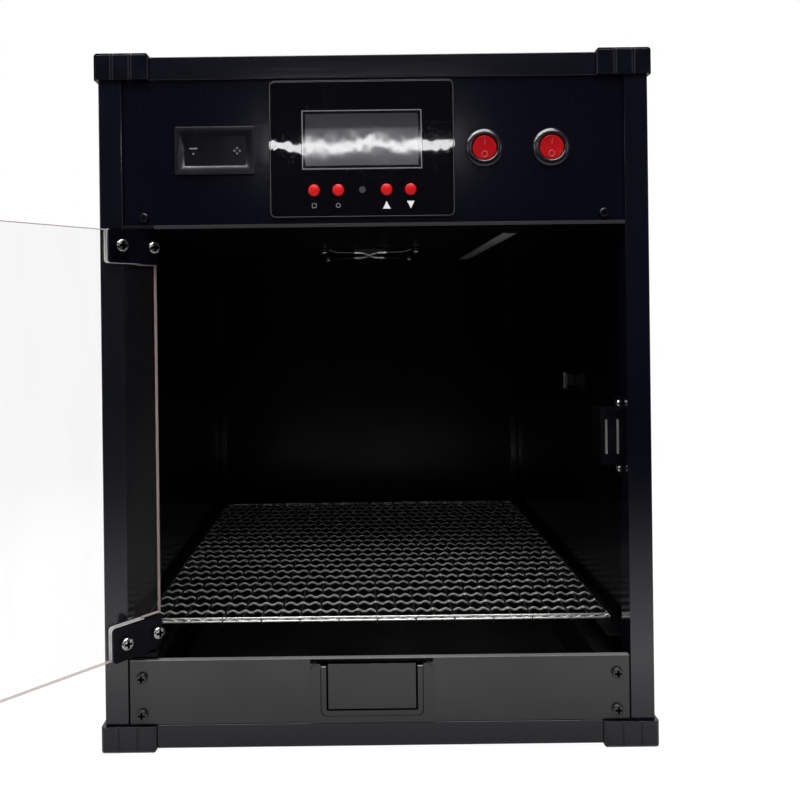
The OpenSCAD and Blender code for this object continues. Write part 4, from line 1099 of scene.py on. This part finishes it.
@dataclass
class CarriedNodes:
    """Solids that stay as they are, with broken edges and a finish each."""

    palette: Palette
    merged_within: float = 1e-6
    flat_within: float = math.radians(0.5)
    bevel_past: float = math.radians(40)
    bevel_segments: int = 2
    edge_mm: dict[str, float] = field(default_factory=lambda: {
        "black_tube": 0.7, "corner_plastic": 0.5, "wall_panel": 0.3, "coated_sheet": 0.3, "pull_black": 0.3,
        "control_gloss": 0.35, "case_plastic": 0.5, "rocker_red": 0.4, "clamp_black": 0.5,
        "heater_alloy": 0.3, "bright_steel": 0.15, "lamp_diffuser": 0.3})
    own_edge_mm: dict[str, float] = field(default_factory=lambda: {
        "thermometer_case": 0.4, "sensor_probe": 0.4, "corner_blocks_top": 0.15})
    own_finish: dict[str, str] = field(default_factory=lambda: {
        "rails_top": "black_rail", "rails_bottom": "black_rail", "corner_blocks_top": "rubbed_block",
        "ceiling_panel": "ceiling_sheet", "drawer_front": "drawer_sheet", "drawer_screws": "drawer_screw",
        "door_screws": "clamp_screw", "sensor_probe": "probe_steel", "catch_housing": "catch_plastic",
        "catch_poles": "pole_steel"})

    def dress(self) -> None:
        """Give each node its finish, and round the edges of those that have a width for it."""
        for part in frame["record"]["subparts"]:
            node, slot = part["node"], part["material_slot"]
            shown = frame["nodes"][node]
            finish = self.palette[self.own_finish.get(node, slot)]
            if not shown.material_slots:
                shown.data.materials.append(finish)
            for place in shown.material_slots:
                place.material = finish
            width = self.own_edge_mm.get(node, self.edge_mm.get(slot, 0.0))
            if width:
                self.round_edges(shown, width * MM)
            LOG.info("%s has finish %s", node, finish.name)

    def round_edges(self, shown: bpy.types.Object, width: float) -> None:
        """Merge the loose triangles into flat faces and bevel the sharp edges.

        Args:
            shown: the node's object.
            width: width of the bevel in metres.
        """
        weld = shown.modifiers.new("weld", "WELD")
        weld.merge_threshold = self.merged_within
        flat = shown.modifiers.new("flat_faces", "DECIMATE")
        flat.decimate_type = "DISSOLVE"
        flat.angle_limit = self.flat_within
        bevel = shown.modifiers.new("edges", "BEVEL")
        bevel.limit_method = "ANGLE"
        bevel.angle_limit = self.bevel_past
        bevel.width = width
        bevel.segments = self.bevel_segments
        bevel.use_clamp_overlap = True
        normals = shown.modifiers.new("normals", "WEIGHTED_NORMAL")
        normals.keep_sharp = False


@dataclass
class WireFloor:
    """Woven wire floor: wires that are crimped between crossings as well as at them, in a rim of two rods."""

    palette: Palette
    cells: tuple[int, int] = (24, 23)
    waves_per_cell: float = 1.5
    points_per_wave: int = 10
    wire_sides: int = 6
    wire_r: float = 0.75 * MM
    rod_r: float = 0.66 * MM
    rod_sides: int = 10
    rod_step: float = 1.7 * MM
    corner_r: float = 5 * MM
    hook_points: int = 6
    hook_share: float = 0.9
    hook_drop: float = 2.2 * MM

    def __post_init__(self) -> None:
        """Take the floor's place from its solid."""
        self.low, self.high = corners("floor_mesh")
        self.middle = (self.low + self.high) / 2

    def crimped(self, run: int) -> np.ndarray:
        """Centre lines of one set of wires.

        A wire's height is a cosine along its run, with three half waves from one crossing to the next, so it
        goes over one crossing wire and under the next. Its neighbour has the opposite height.

        Args:
            run: 0 for wires along X, 1 for wires along Y.

        Returns:
            Points, as wires by points by three.
        """
        other = 1 - run
        inset = 2 * self.rod_r
        first, last = self.low + inset, self.high - inset
        cells, wires = self.cells[run], self.cells[other] + 1
        count = int(cells * self.waves_per_cell * self.points_per_wave) + 1
        phase = 2 * np.pi * self.waves_per_cell * np.linspace(0.0, cells, count)
        sign = np.where(np.arange(wires) % 2, -1.0, 1.0) * (1.0 if run == 0 else -1.0)
        paths = np.zeros((wires, count, 3))
        paths[:, :, run] = np.linspace(first[run], last[run], count)
        paths[:, :, other] = np.linspace(first[other], last[other], wires)[:, None]
        paths[:, :, 2] = self.middle[2] + self.wire_r * sign[:, None] * np.cos(phase)[None, :]
        return paths

    def hooks(self) -> Surface:
        """Ends of every other wire along Y, turned down by a quarter circle behind the front rods.

        Returns:
            The hooks as one shape.
        """
        lines = self.crimped(1)[::2, 0, :]
        turn = np.linspace(0.0, np.pi / 2, self.hook_points)
        bend = self.wire_r * np.stack([0 * turn, -np.sin(turn), np.cos(turn) - 1.0], -1)
        paths = lines[:, None, :] + bend[None]
        paths[:, :, 2] -= lines[:, 2, None] - self.middle[2]
        tip = paths[:, -1:, :] - self.hook_drop * UP
        paths = np.concatenate([paths, tip], 1)
        return round_bars(paths, self.wire_r * self.hook_share, self.wire_sides, RIGHT)

    def rods(self) -> Surface:
        """Two rim rods, one on the other: loops with round corners.

        Returns:
            The rods as one shape.
        """
        size = self.high - self.low - 2 * self.rod_r
        stacked = []
        for level, pull in ((self.low[2] + self.rod_r, 0.0), (self.high[2] - self.rod_r, self.rod_step)):
            loop = round_rectangle(size[0] - pull, size[1] - pull, self.corner_r) + self.middle[:2]
            stacked.append(np.column_stack([loop, np.full(len(loop), level)]))
        return round_bars(np.stack(stacked), self.rod_r, self.rod_sides, UP, closed=True)

    def build(self) -> None:
        """Make the wires and the rim in place of the flat net; the wires along Y and the rim's sides and back are
        a painted shaded copy, the front rods a painted lit copy.
        """
        steel, dull, bright = (self.palette[name] for name in ("floor_wire", "cross_wire", "rim_wire"))
        weft = round_bars(self.crimped(0), self.wire_r, self.wire_sides, INWARD)
        warp = round_bars(self.crimped(1), self.wire_r, self.wire_sides, RIGHT)
        weft.piece("floor_weft_wires", [steel], "cabinet", "floor_wire", ["floor_mesh"])
        (warp + self.hooks()).piece("floor_warp_wires", [dull], "cabinet", "floor_wire", ["floor_mesh"])
        rods = self.rods().sorted_by(1, self.corner_r, self.low[1])
        rods.piece("floor_rim_rods", [bright, dull], "cabinet", "floor_wire", ["floor_mesh"])


@dataclass
class FanGuard:
    """Wire guard under the fan: rings, and two S-shaped wires under them that cross and rise to eyelets."""

    palette: Palette
    wire_r: float = 0.8 * MM
    wire_sides: int = 8
    rings: Sequence[float] = (12 * MM, 20 * MM, 28 * MM, 36 * MM)
    ring_points: int = 40
    eyelet_r: float = 3.3 * MM
    eyelet_in: float = 4.55 * MM
    arm_points: int = 97
    bend_half: float = 8 * MM
    bend_reach: float = 24 * MM
    rise_from: float = 0.7
    lit_half: float = 12.8 * MM

    def __post_init__(self) -> None:
        """Take the guard's place from its solid."""
        low, high = corners("fan_guard")
        self.centre = np.array([*(low + high)[:2] / 2, high[2] - self.wire_r])
        self.drop = high[2] - low[2] - 2 * self.wire_r
        self.corner = (high - low)[0] / 2 - self.eyelet_in

    def loops(self, radii: Sequence[float], centres: Sequence[np.ndarray]) -> Surface:
        """Level wire rings of given radii about given middles."""
        paths = [centre + circle(radius, self.ring_points) for radius, centre in zip(radii, centres)]
        return round_bars(np.stack(paths), self.wire_r, self.wire_sides, UP, closed=True)

    def arm(self, side: float) -> np.ndarray:
        """One crossing wire.

        Its depth is a sine of the place across near the middle and then a straight line to the eyelets. It
        hangs under the rings and rises to the eyelets' level by a smooth step near its ends.

        Args:
            side: 1 or -1, which way it bends.

        Returns:
            Points along the wire.
        """
        end = self.corner - self.eyelet_r / math.sqrt(2)
        across = np.linspace(-end, end, self.arm_points)
        out = np.abs(across)
        past = np.clip((out - self.bend_half) / (end - self.bend_half), 0.0, 1.0)
        bend = self.bend_reach * np.sin(np.clip(out / self.bend_half, 0.0, 1.0) * np.pi / 2)
        depth = side * np.sign(across) * (bend + (end - self.bend_reach) * past)
        rise = np.clip((past - self.rise_from) / (1.0 - self.rise_from), 0.0, 1.0)
        height = -self.drop * (1.0 - rise ** 2 * (3.0 - 2.0 * rise))
        return self.centre + np.stack([across, depth, height], -1)

    def build(self) -> None:
        """Make the guard in place of the flat one; its wires are lit and shaded copies of one steel: painted light
        in the middle of the arms, painted shade at their ends and on the rings.
        """
        spots = self.centre + self.corner * np.array([[x, y, 0.0] for x in (-1, 1) for y in (-1, 1)])
        eyelets = self.loops([self.eyelet_r] * len(spots), spots)
        rings = self.loops(self.rings, [self.centre] * len(self.rings))
        arms = round_bars(np.stack([self.arm(1.0), self.arm(-1.0)]), self.wire_r, self.wire_sides, UP)
        arms = arms.sorted_by(0, self.lit_half, self.centre[0])
        arms.piece("fan_guard_arms", [self.palette["guard_arm"], self.palette["guard_end"]], "cabinet",
                   "floor_wire", ["fan_guard"])
        (rings + eyelets).piece("fan_guard_rings", [self.palette["guard_ring"]], "cabinet", "floor_wire",
                                ["fan_guard"])


@dataclass
class ControlFace:
    """Buttons with domed caps, plain signs under them, and a painted highlight line round the controller plate."""

    palette: Palette
    buttons: Sequence[str] = ("enter", "set", "up", "down")
    cap_soft: float = 0.9 * MM
    cap_crown: float = 0.5 * MM
    edge_points: int = 7
    crown_points: int = 8
    print_t: float = 0.06 * MM
    mark_down: float = 9.2 * MM
    triangle_half: float = 2.3 * MM
    sign_half: float = 1.4 * MM
    sign_line: float = 0.4 * MM
    ring_corner: float = 1.33 * MM
    square_corner: float = 0.3 * MM
    outline_in: float = 0.6 * MM
    outline_corner: float = 3 * MM
    outline_line: float = 0.35 * MM

    def cap(self, name: str) -> None:
        """Push button with a domed top: a quarter circle rounds its edge and a parabola crowns it.

        Args:
            name: the button's name.
        """
        low, high = corners(f"button_{name}")
        r = (high[0] - low[0]) / 2
        tall = high[1] - low[1]
        soft, flat = self.cap_soft, tall - self.cap_crown
        turn = np.linspace(0.0, np.pi / 2, self.edge_points)
        edge = np.stack([r - soft + soft * np.cos(turn), flat - soft + soft * np.sin(turn)], -1)
        out = np.linspace(1.0, 0.0, self.crown_points)[1:]
        dome = np.stack([(r - soft) * out, tall - self.cap_crown * out ** 2], -1)
        shape = lathe([(0.0, 0.0), (r, 0.0), *edge, *dome]).turned(90, "X")
        centre = [(low[0] + high[0]) / 2, high[1], (low[2] + high[2]) / 2]
        shape.shifted(centre).piece(f"cap_{name}", [self.palette["button_red"]], f"{name}_button",
                                    "button_red", [f"button_{name}"])

    def sign(self, name: str, front: float, back: float) -> tuple[Surface, str]:
        """The sign of a button: a square, a ring, or a triangle that points up or down.

        Args:
            name: the button's name.
            front: depth of the sign's face.
            back: depth of its back.

        Returns:
            The shape about the origin, and its finish.
        """
        if name in ("up", "down"):
            way, h = (1 if name == "up" else -1), self.triangle_half
            outline = np.array([[-h, -h * way], [h, -h * way], [0.0, h * way]])[::way]
            return plate(outline, front, back, PRINT_EDGE), "print_pale"
        size = 2 * self.sign_half
        outer = round_rectangle(size, size, self.ring_corner if name == "set" else self.square_corner)
        return band(outer, self.sign_line, front, back), "print_grey"

    def marks(self) -> None:
        """Signs under the buttons, half sunk in the controller plate."""
        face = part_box("controller_plate")[0].y
        for name in self.buttons:
            low, high = corners(f"button_{name}")
            at = [(low[0] + high[0]) / 2, 0.0, (low[2] + high[2]) / 2 - self.mark_down]
            shape, finish = self.sign(name, face - self.print_t, face + self.print_t)
            shape.plain().shifted(at).piece(f"sign_{name}", [self.palette[finish]], "cabinet",
                                            "control_gloss", smooth=False)

    def outline(self) -> None:
        """Fine pale line just inside the controller plate's edge: a painted highlight of its rim."""
        low, high = corners("controller_plate")
        size, middle = high - low - 2 * self.outline_in, (low + high) / 2
        outer = round_rectangle(size[0], size[2], self.outline_corner)
        front = low[1] - 0.5 * self.print_t
        shape = band(outer, self.outline_line, front, front + self.print_t)
        shape.shifted([middle[0], 0.0, middle[2]]).piece(
            "controller_outline", [self.palette["print_faint"]], "cabinet", "control_gloss", smooth=False)

    def build(self) -> None:
        """Make the caps and the prints."""
        for name in self.buttons:
            self.cap(name)
        self.marks()
        self.outline()


@dataclass
class RockerSwitch:
    """Case with a rounded bezel, and a ring and a bar in relief on the lower and upper half of its rocker."""

    palette: Palette
    side: str
    bezel_r: float = 11.5 * MM
    bezel_rim: float = 0.3 * MM
    crest_r: float = 8.5 * MM
    crest_up: float = 2.4 * MM
    mouth_r: float = 7.75 * MM
    mouth_drop: float = 0.7 * MM
    pocket: float = 8.0 * MM
    barrel_r: float = 9.9 * MM
    segments: int = 64
    arc_points: int = 9
    blade: Triple = (6 * MM, 0.8 * MM, 8 * MM)
    blade_corner: float = 0.2 * MM
    blade_edge: float = 0.1 * MM
    blade_sunk: float = 1 * MM
    blades_up: Sequence[float] = (-5.5 * MM, 0.0, 5.5 * MM)
    tilt: float = 10.0
    valley: float = 2.0 * MM
    slope: float = 1.2 / 14.8
    off_middle: float = 3.6 * MM
    ring_r: float = 1.7 * MM
    ring_points: int = 28
    bar_half: float = 1.6 * MM
    bar_points: int = 5
    line_r: float = 0.28 * MM
    line_sides: int = 8

    def on_face(self, flat: np.ndarray) -> np.ndarray:
        """Points in X and Z laid on the rocker's two sloping faces, then tilted and moved to its pivot.

        Args:
            flat: points in X and Z about the rocker's middle.

        Returns:
            Points in the frame.
        """
        y = -self.valley - np.abs(flat[:, 1]) * self.slope
        points = Surface(np.stack([flat[:, 0], y, flat[:, 1]], -1), []).turned(self.tilt, "X").points
        return points + np.array(joint(f"{self.side}_rock")["pos_m"])

    def case(self) -> None:
        """Case turned from a profile: a long quarter ellipse rounds the bezel, a short one its mouth."""
        low, high = corners(f"switch_{self.side}_case")
        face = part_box("fascia_panel")[0].y
        wide, thick, tall = self.blade
        back = high[1] - face - tall
        turn = np.linspace(0.0, np.pi / 2, self.arc_points)
        outside = np.stack([self.crest_r + (self.bezel_r - self.crest_r) * np.cos(turn),
                            self.bezel_rim + (self.crest_up - self.bezel_rim) * np.sin(turn)], -1)
        inside = np.stack([self.crest_r - (self.crest_r - self.mouth_r) * np.sin(turn),
                           self.crest_up - self.mouth_drop * (1 - np.cos(turn))], -1)
        profile = [(0.0, -back), (self.barrel_r, -back), (self.barrel_r, 0.0), (self.bezel_r, 0.0), *outside,
                   *inside[1:], (self.mouth_r, -self.pocket), (0.0, -self.pocket)]
        shape = lathe(profile, self.segments).turned(90, "X")
        tongue = plate(round_rectangle(wide, thick, self.blade_corner), back - self.blade_sunk, back + tall,
                       self.blade_edge)
        for up in self.blades_up:
            shape = shape + tongue.shifted([0, 0, up])
        at = [(low[0] + high[0]) / 2, face, (low[2] + high[2]) / 2]
        shape.shifted(at).piece(f"{self.side}_switch_body", [self.palette["bezel_plastic"]], "cabinet",
                                "case_plastic", [f"switch_{self.side}_case"])

    def signs(self) -> None:
        """Both signs as round ridges half sunk in the rocker."""
        ring = circle(self.ring_r, self.ring_points)[:, :2] - np.array([0.0, self.off_middle])
        up = self.off_middle + self.bar_half * np.linspace(-1, 1, self.bar_points)
        bar = np.stack([0 * up, up], -1)
        lean = math.radians(self.tilt) - math.atan(self.slope)
        lower = np.array(Matrix.Rotation(lean, 3, "X")) @ INWARD
        made = round_bars(self.on_face(ring)[None], self.line_r, self.line_sides, lower, closed=True)
        made = made + round_bars(self.on_face(bar)[None], self.line_r, self.line_sides, RIGHT)
        made.piece(f"{self.side}_rocker_signs", [self.palette["rocker_sign"]], f"{self.side}_rocker",
                   "rocker_red")

    def build(self) -> None:
        """Make the case and the rocker's signs."""
        self.case()
        self.signs()


@dataclass
class MeterMarks:
    """Small signs on the thermometer's window: four triangles in a cross, and a triangle under a bar."""

    palette: Palette
    size: float = 0.9 * MM
    off_side: float = 13.2 * MM
    cross: float = 1.6 * MM
    bar: Triple = (4.8 * MM, 0.8 * MM, 0.16 * MM)
    raised: float = 0.05 * MM

    def raised_plate(self, outline: np.ndarray, at: Pair) -> Surface:
        """A thin plate of an outline about a place, half sunk in the window."""
        return plate(outline + np.array(at), -self.raised, self.raised, PRINT_EDGE)

    def triangle(self, at: Pair, turn: float) -> Surface:
        """One triangle that points up before it is turned about its own middle."""
        corner = np.radians(90 + turn + 120 * np.arange(3))
        return self.raised_plate(np.stack([np.cos(corner), np.sin(corner)], -1) * self.size, at)

    def build(self) -> None:
        """Place the signs on the window's face."""
        low, high = corners("thermometer_window")
        c, s = self.cross, self.off_side
        shape = self.triangle((-s, -c), 0)
        for at, turn in (((s, c), 0), ((s - c, 0), 90), ((s, -c), 180), ((s + c, 0), 270)):
            shape = shape + self.triangle(at, turn)
        shape = shape + self.raised_plate(round_rectangle(*self.bar), (-s, c))
        middle = (low + high) / 2
        shape.shifted([middle[0], low[1], middle[2]]).piece(
            "thermometer_signs", [self.palette["print_grey"]], "cabinet", "meter_window", smooth=False)


@dataclass
class DoorPane:
    """Clear door: a sheet notched for its hinge clamps, with broken edges painted a pale pinkish brown as
    reflection.
    """

    palette: Palette
    thick: float = 3 * MM
    past: float = 8.5 * MM
    notch: float = 2.8 * MM
    clamp_play: float = 0.3 * MM
    post_play: float = 1 * MM
    edge: float = 0.3 * MM

    def build(self) -> None:
        """Draw the sheet closed, along X from its pivot, and turn it to its resting angle."""
        hinge = joint("door_swing")
        pivot = np.array([*hinge["pos_m"][:2], 0.0])
        angle = hinge["range_deg"][1]
        low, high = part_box("door_pane")
        clamp_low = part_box("lower_hinge_clamp")[1].z + self.clamp_play
        clamp_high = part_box("upper_hinge_clamp")[0].z - self.clamp_play
        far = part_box("post_front_right")[0].x - pivot[0] - self.post_play
        outline = np.array([
            [self.notch, low.z], [far, low.z], [far, high.z], [self.notch, high.z], [self.notch, clamp_high],
            [-self.past, clamp_high], [-self.past, clamp_low], [self.notch, clamp_low]])
        half = self.thick / 2
        sheet = plate(outline, -half, half, self.edge).turned(-angle, "Z").shifted(pivot)
        sheet.piece("clear_door_sheet", [self.palette["clear_acrylic"], self.palette["acrylic_edge"]], "door",
                    "clear_acrylic", ["door_pane"], smooth=False)


@dataclass(frozen=True)
class SoftBox:
    """A soft lamp: its middle, the point it faces, its width and height, and its power in watts."""

    name: str
    at: Triple
    aim: Triple
    size: Pair
    power: float

    def light(self) -> None:
        """Put the lamp into the scene."""
        data = bpy.data.lights.new(self.name, "AREA")
        data.shape = "RECTANGLE"
        data.size, data.size_y = self.size
        data.energy = self.power
        made = bpy.data.objects.new(self.name, data)
        made.location = self.at
        made.rotation_euler = (Vector(self.aim) - Vector(self.at)).to_track_quat("-Z", "Y").to_euler()
        bpy.context.scene.collection.objects.link(made)


@dataclass
class Studio:
    """Camera at the photograph's place, soft lights, pale floor and white surroundings."""

    eye: Triple = (-0.0111, -0.6015, 0.2582)
    roll: float = -0.7
    lens: float = 32.13
    sensor: float = 36.0
    shift: Pair = (0.054, -0.10)
    clip: float = 0.02
    ambient: float = 0.25
    front_gloss: float = 0.02
    sweep: Pair = (-0.1, 0.5)
    floor_half: float = 4.0
    floor_foot: float = -0.17
    floor_near: float = -0.29
    floor_far: float = -1.1
    foot_level: float = 0.4
    fade: float = 3.2
    shadow_reach: Pair = (0.4, 0.8)
    shadow_white: Pair = (1.07, 1.0)
    white_share: Pair = (0.9, 1.0)
    paper: Colour = (0.86, 0.86, 0.86)
    boxes: Sequence[SoftBox] = (
        SoftBox("top_box", (0.0, -0.38, 1.4), (0.0, -0.05, 0.2), (1.0, 0.5), 18.0),
        SoftBox("left_box", (-1.0, -1.1, 0.6), (-0.1, -0.1, 0.06), (0.3, 0.4), 2.0),
        SoftBox("right_box", (1.0, -1.1, 0.6), (0.1, -0.1, 0.06), (0.3, 0.4), 0.8),
        SoftBox("key_box", (-0.2, -0.85, 1.3), (0.0, -0.05, 0.2), (1.8, 0.2), 24.0),
        SoftBox("strip", (0.006, -1.5, 0.69), (0.0, -0.17, 0.36), (0.46, 0.022), 0.6),
    )

    def camera(self) -> None:
        """Look level along +Y, rolled a little, with the photograph's shift."""
        data = bpy.data.cameras.new("camera")
        data.lens = self.lens
        data.sensor_width = self.sensor
        data.shift_x, data.shift_y = self.shift
        data.clip_start = self.clip
        made = bpy.data.objects.new("camera", data)
        made.location = self.eye
        turn = Matrix.Rotation(math.pi / 2, 3, "X") @ Matrix.Rotation(math.radians(self.roll), 3, "Z")
        made.rotation_euler = turn.to_euler()
        bpy.context.scene.collection.objects.link(made)
        bpy.context.scene.camera = made

    def surroundings(self) -> None:
        """White where the camera looks; a dim room in front and a white sweep behind in reflections."""
        world = bpy.data.worlds.new("studio")
        bpy.context.scene.world = world
        world.use_nodes = True
        graph = Graph(world.node_tree)
        behind = graph.axis(graph.node("ShaderNodeTexCoord", output="Generated"), "Y")
        room = graph.ranged(behind, *self.sweep, self.front_gloss, 1.0)
        glossy = graph.ray("Glossy")
        seen = graph.ray("Camera").most(graph.ray("Transmission")).most(glossy)
        level = seen * (1.0 - glossy * (1.0 - room)) + (1.0 - seen) * self.ambient
        graph.surface(graph.node("ShaderNodeBackground", inputs={"Color": (1, 1, 1, 1), "Strength": level}))

    def floor_finish(self) -> bpy.types.Material:
        """Pale paper that keeps the object's shadow and is white to the camera; in reflections it is darker far
        out in front, with a painted shadow near the object's foot.

        Returns:
            The floor's material.
        """
        made = bpy.data.materials.new("floor")
        made.use_nodes = True
        graph = Graph(made.node_tree)
        at, glossy = graph.place(), graph.ray("Glossy")
        away, reach = graph.axis(at, "Y"), graph.length(at)
        near = graph.ranged(away, self.floor_far, self.floor_near)
        # painted shadow: the floor seen in reflections is darker near the object's foot
        shaded = graph.ranged(away, self.floor_near, self.floor_foot, 1.0, self.foot_level)
        level = graph.ranged(reach, *self.shadow_reach, *self.shadow_white)
        glow = level - glossy * (level - near ** self.fade * shaded)
        white = graph.node("ShaderNodeEmission", inputs={"Color": (1, 1, 1, 1), "Strength": glow})
        lit = graph.node("ShaderNodeBsdfDiffuse", inputs={"Color": (*self.paper, 1.0)})
        share = graph.ranged(reach, *self.shadow_reach, *self.white_share)
        share = graph.ray("Camera").most(graph.ray("Transmission")) * share + glossy
        graph.surface(graph.blended(share.least(1.0), lit, white))
        return made

    def ground(self) -> None:
        """Flat floor under the object."""
        h = self.floor_half
        mesh = bpy.data.meshes.new("floor")
        mesh.from_pydata([(-h, -h, 0), (h, -h, 0), (h, h, 0), (-h, h, 0)], [], [(0, 1, 2, 3)])
        mesh.materials.append(self.floor_finish())
        made = bpy.data.objects.new("floor", mesh)
        bpy.context.scene.collection.objects.link(made)

    def build(self) -> None:
        """Make everything round the object."""
        bpy.context.scene.view_settings.view_transform = "Standard"
        self.camera()
        self.surroundings()
        self.ground()
        for box in self.boxes:
            box.light()


def main() -> None:
    """Build the studio and the sub-assemblies in order."""
    logging.basicConfig(level=logging.INFO, format="%(name)s: %(message)s")
    Studio().build()
    palette = Palette()
    CarriedNodes(palette).dress()
    WireFloor(palette).build()
    FanGuard(palette).build()
    ControlFace(palette).build()
    for side in ("left", "right"):
        RockerSwitch(palette, side).build()
    MeterMarks(palette).build()
    DoorPane(palette).build()


if __name__ == "__main__":
    main()
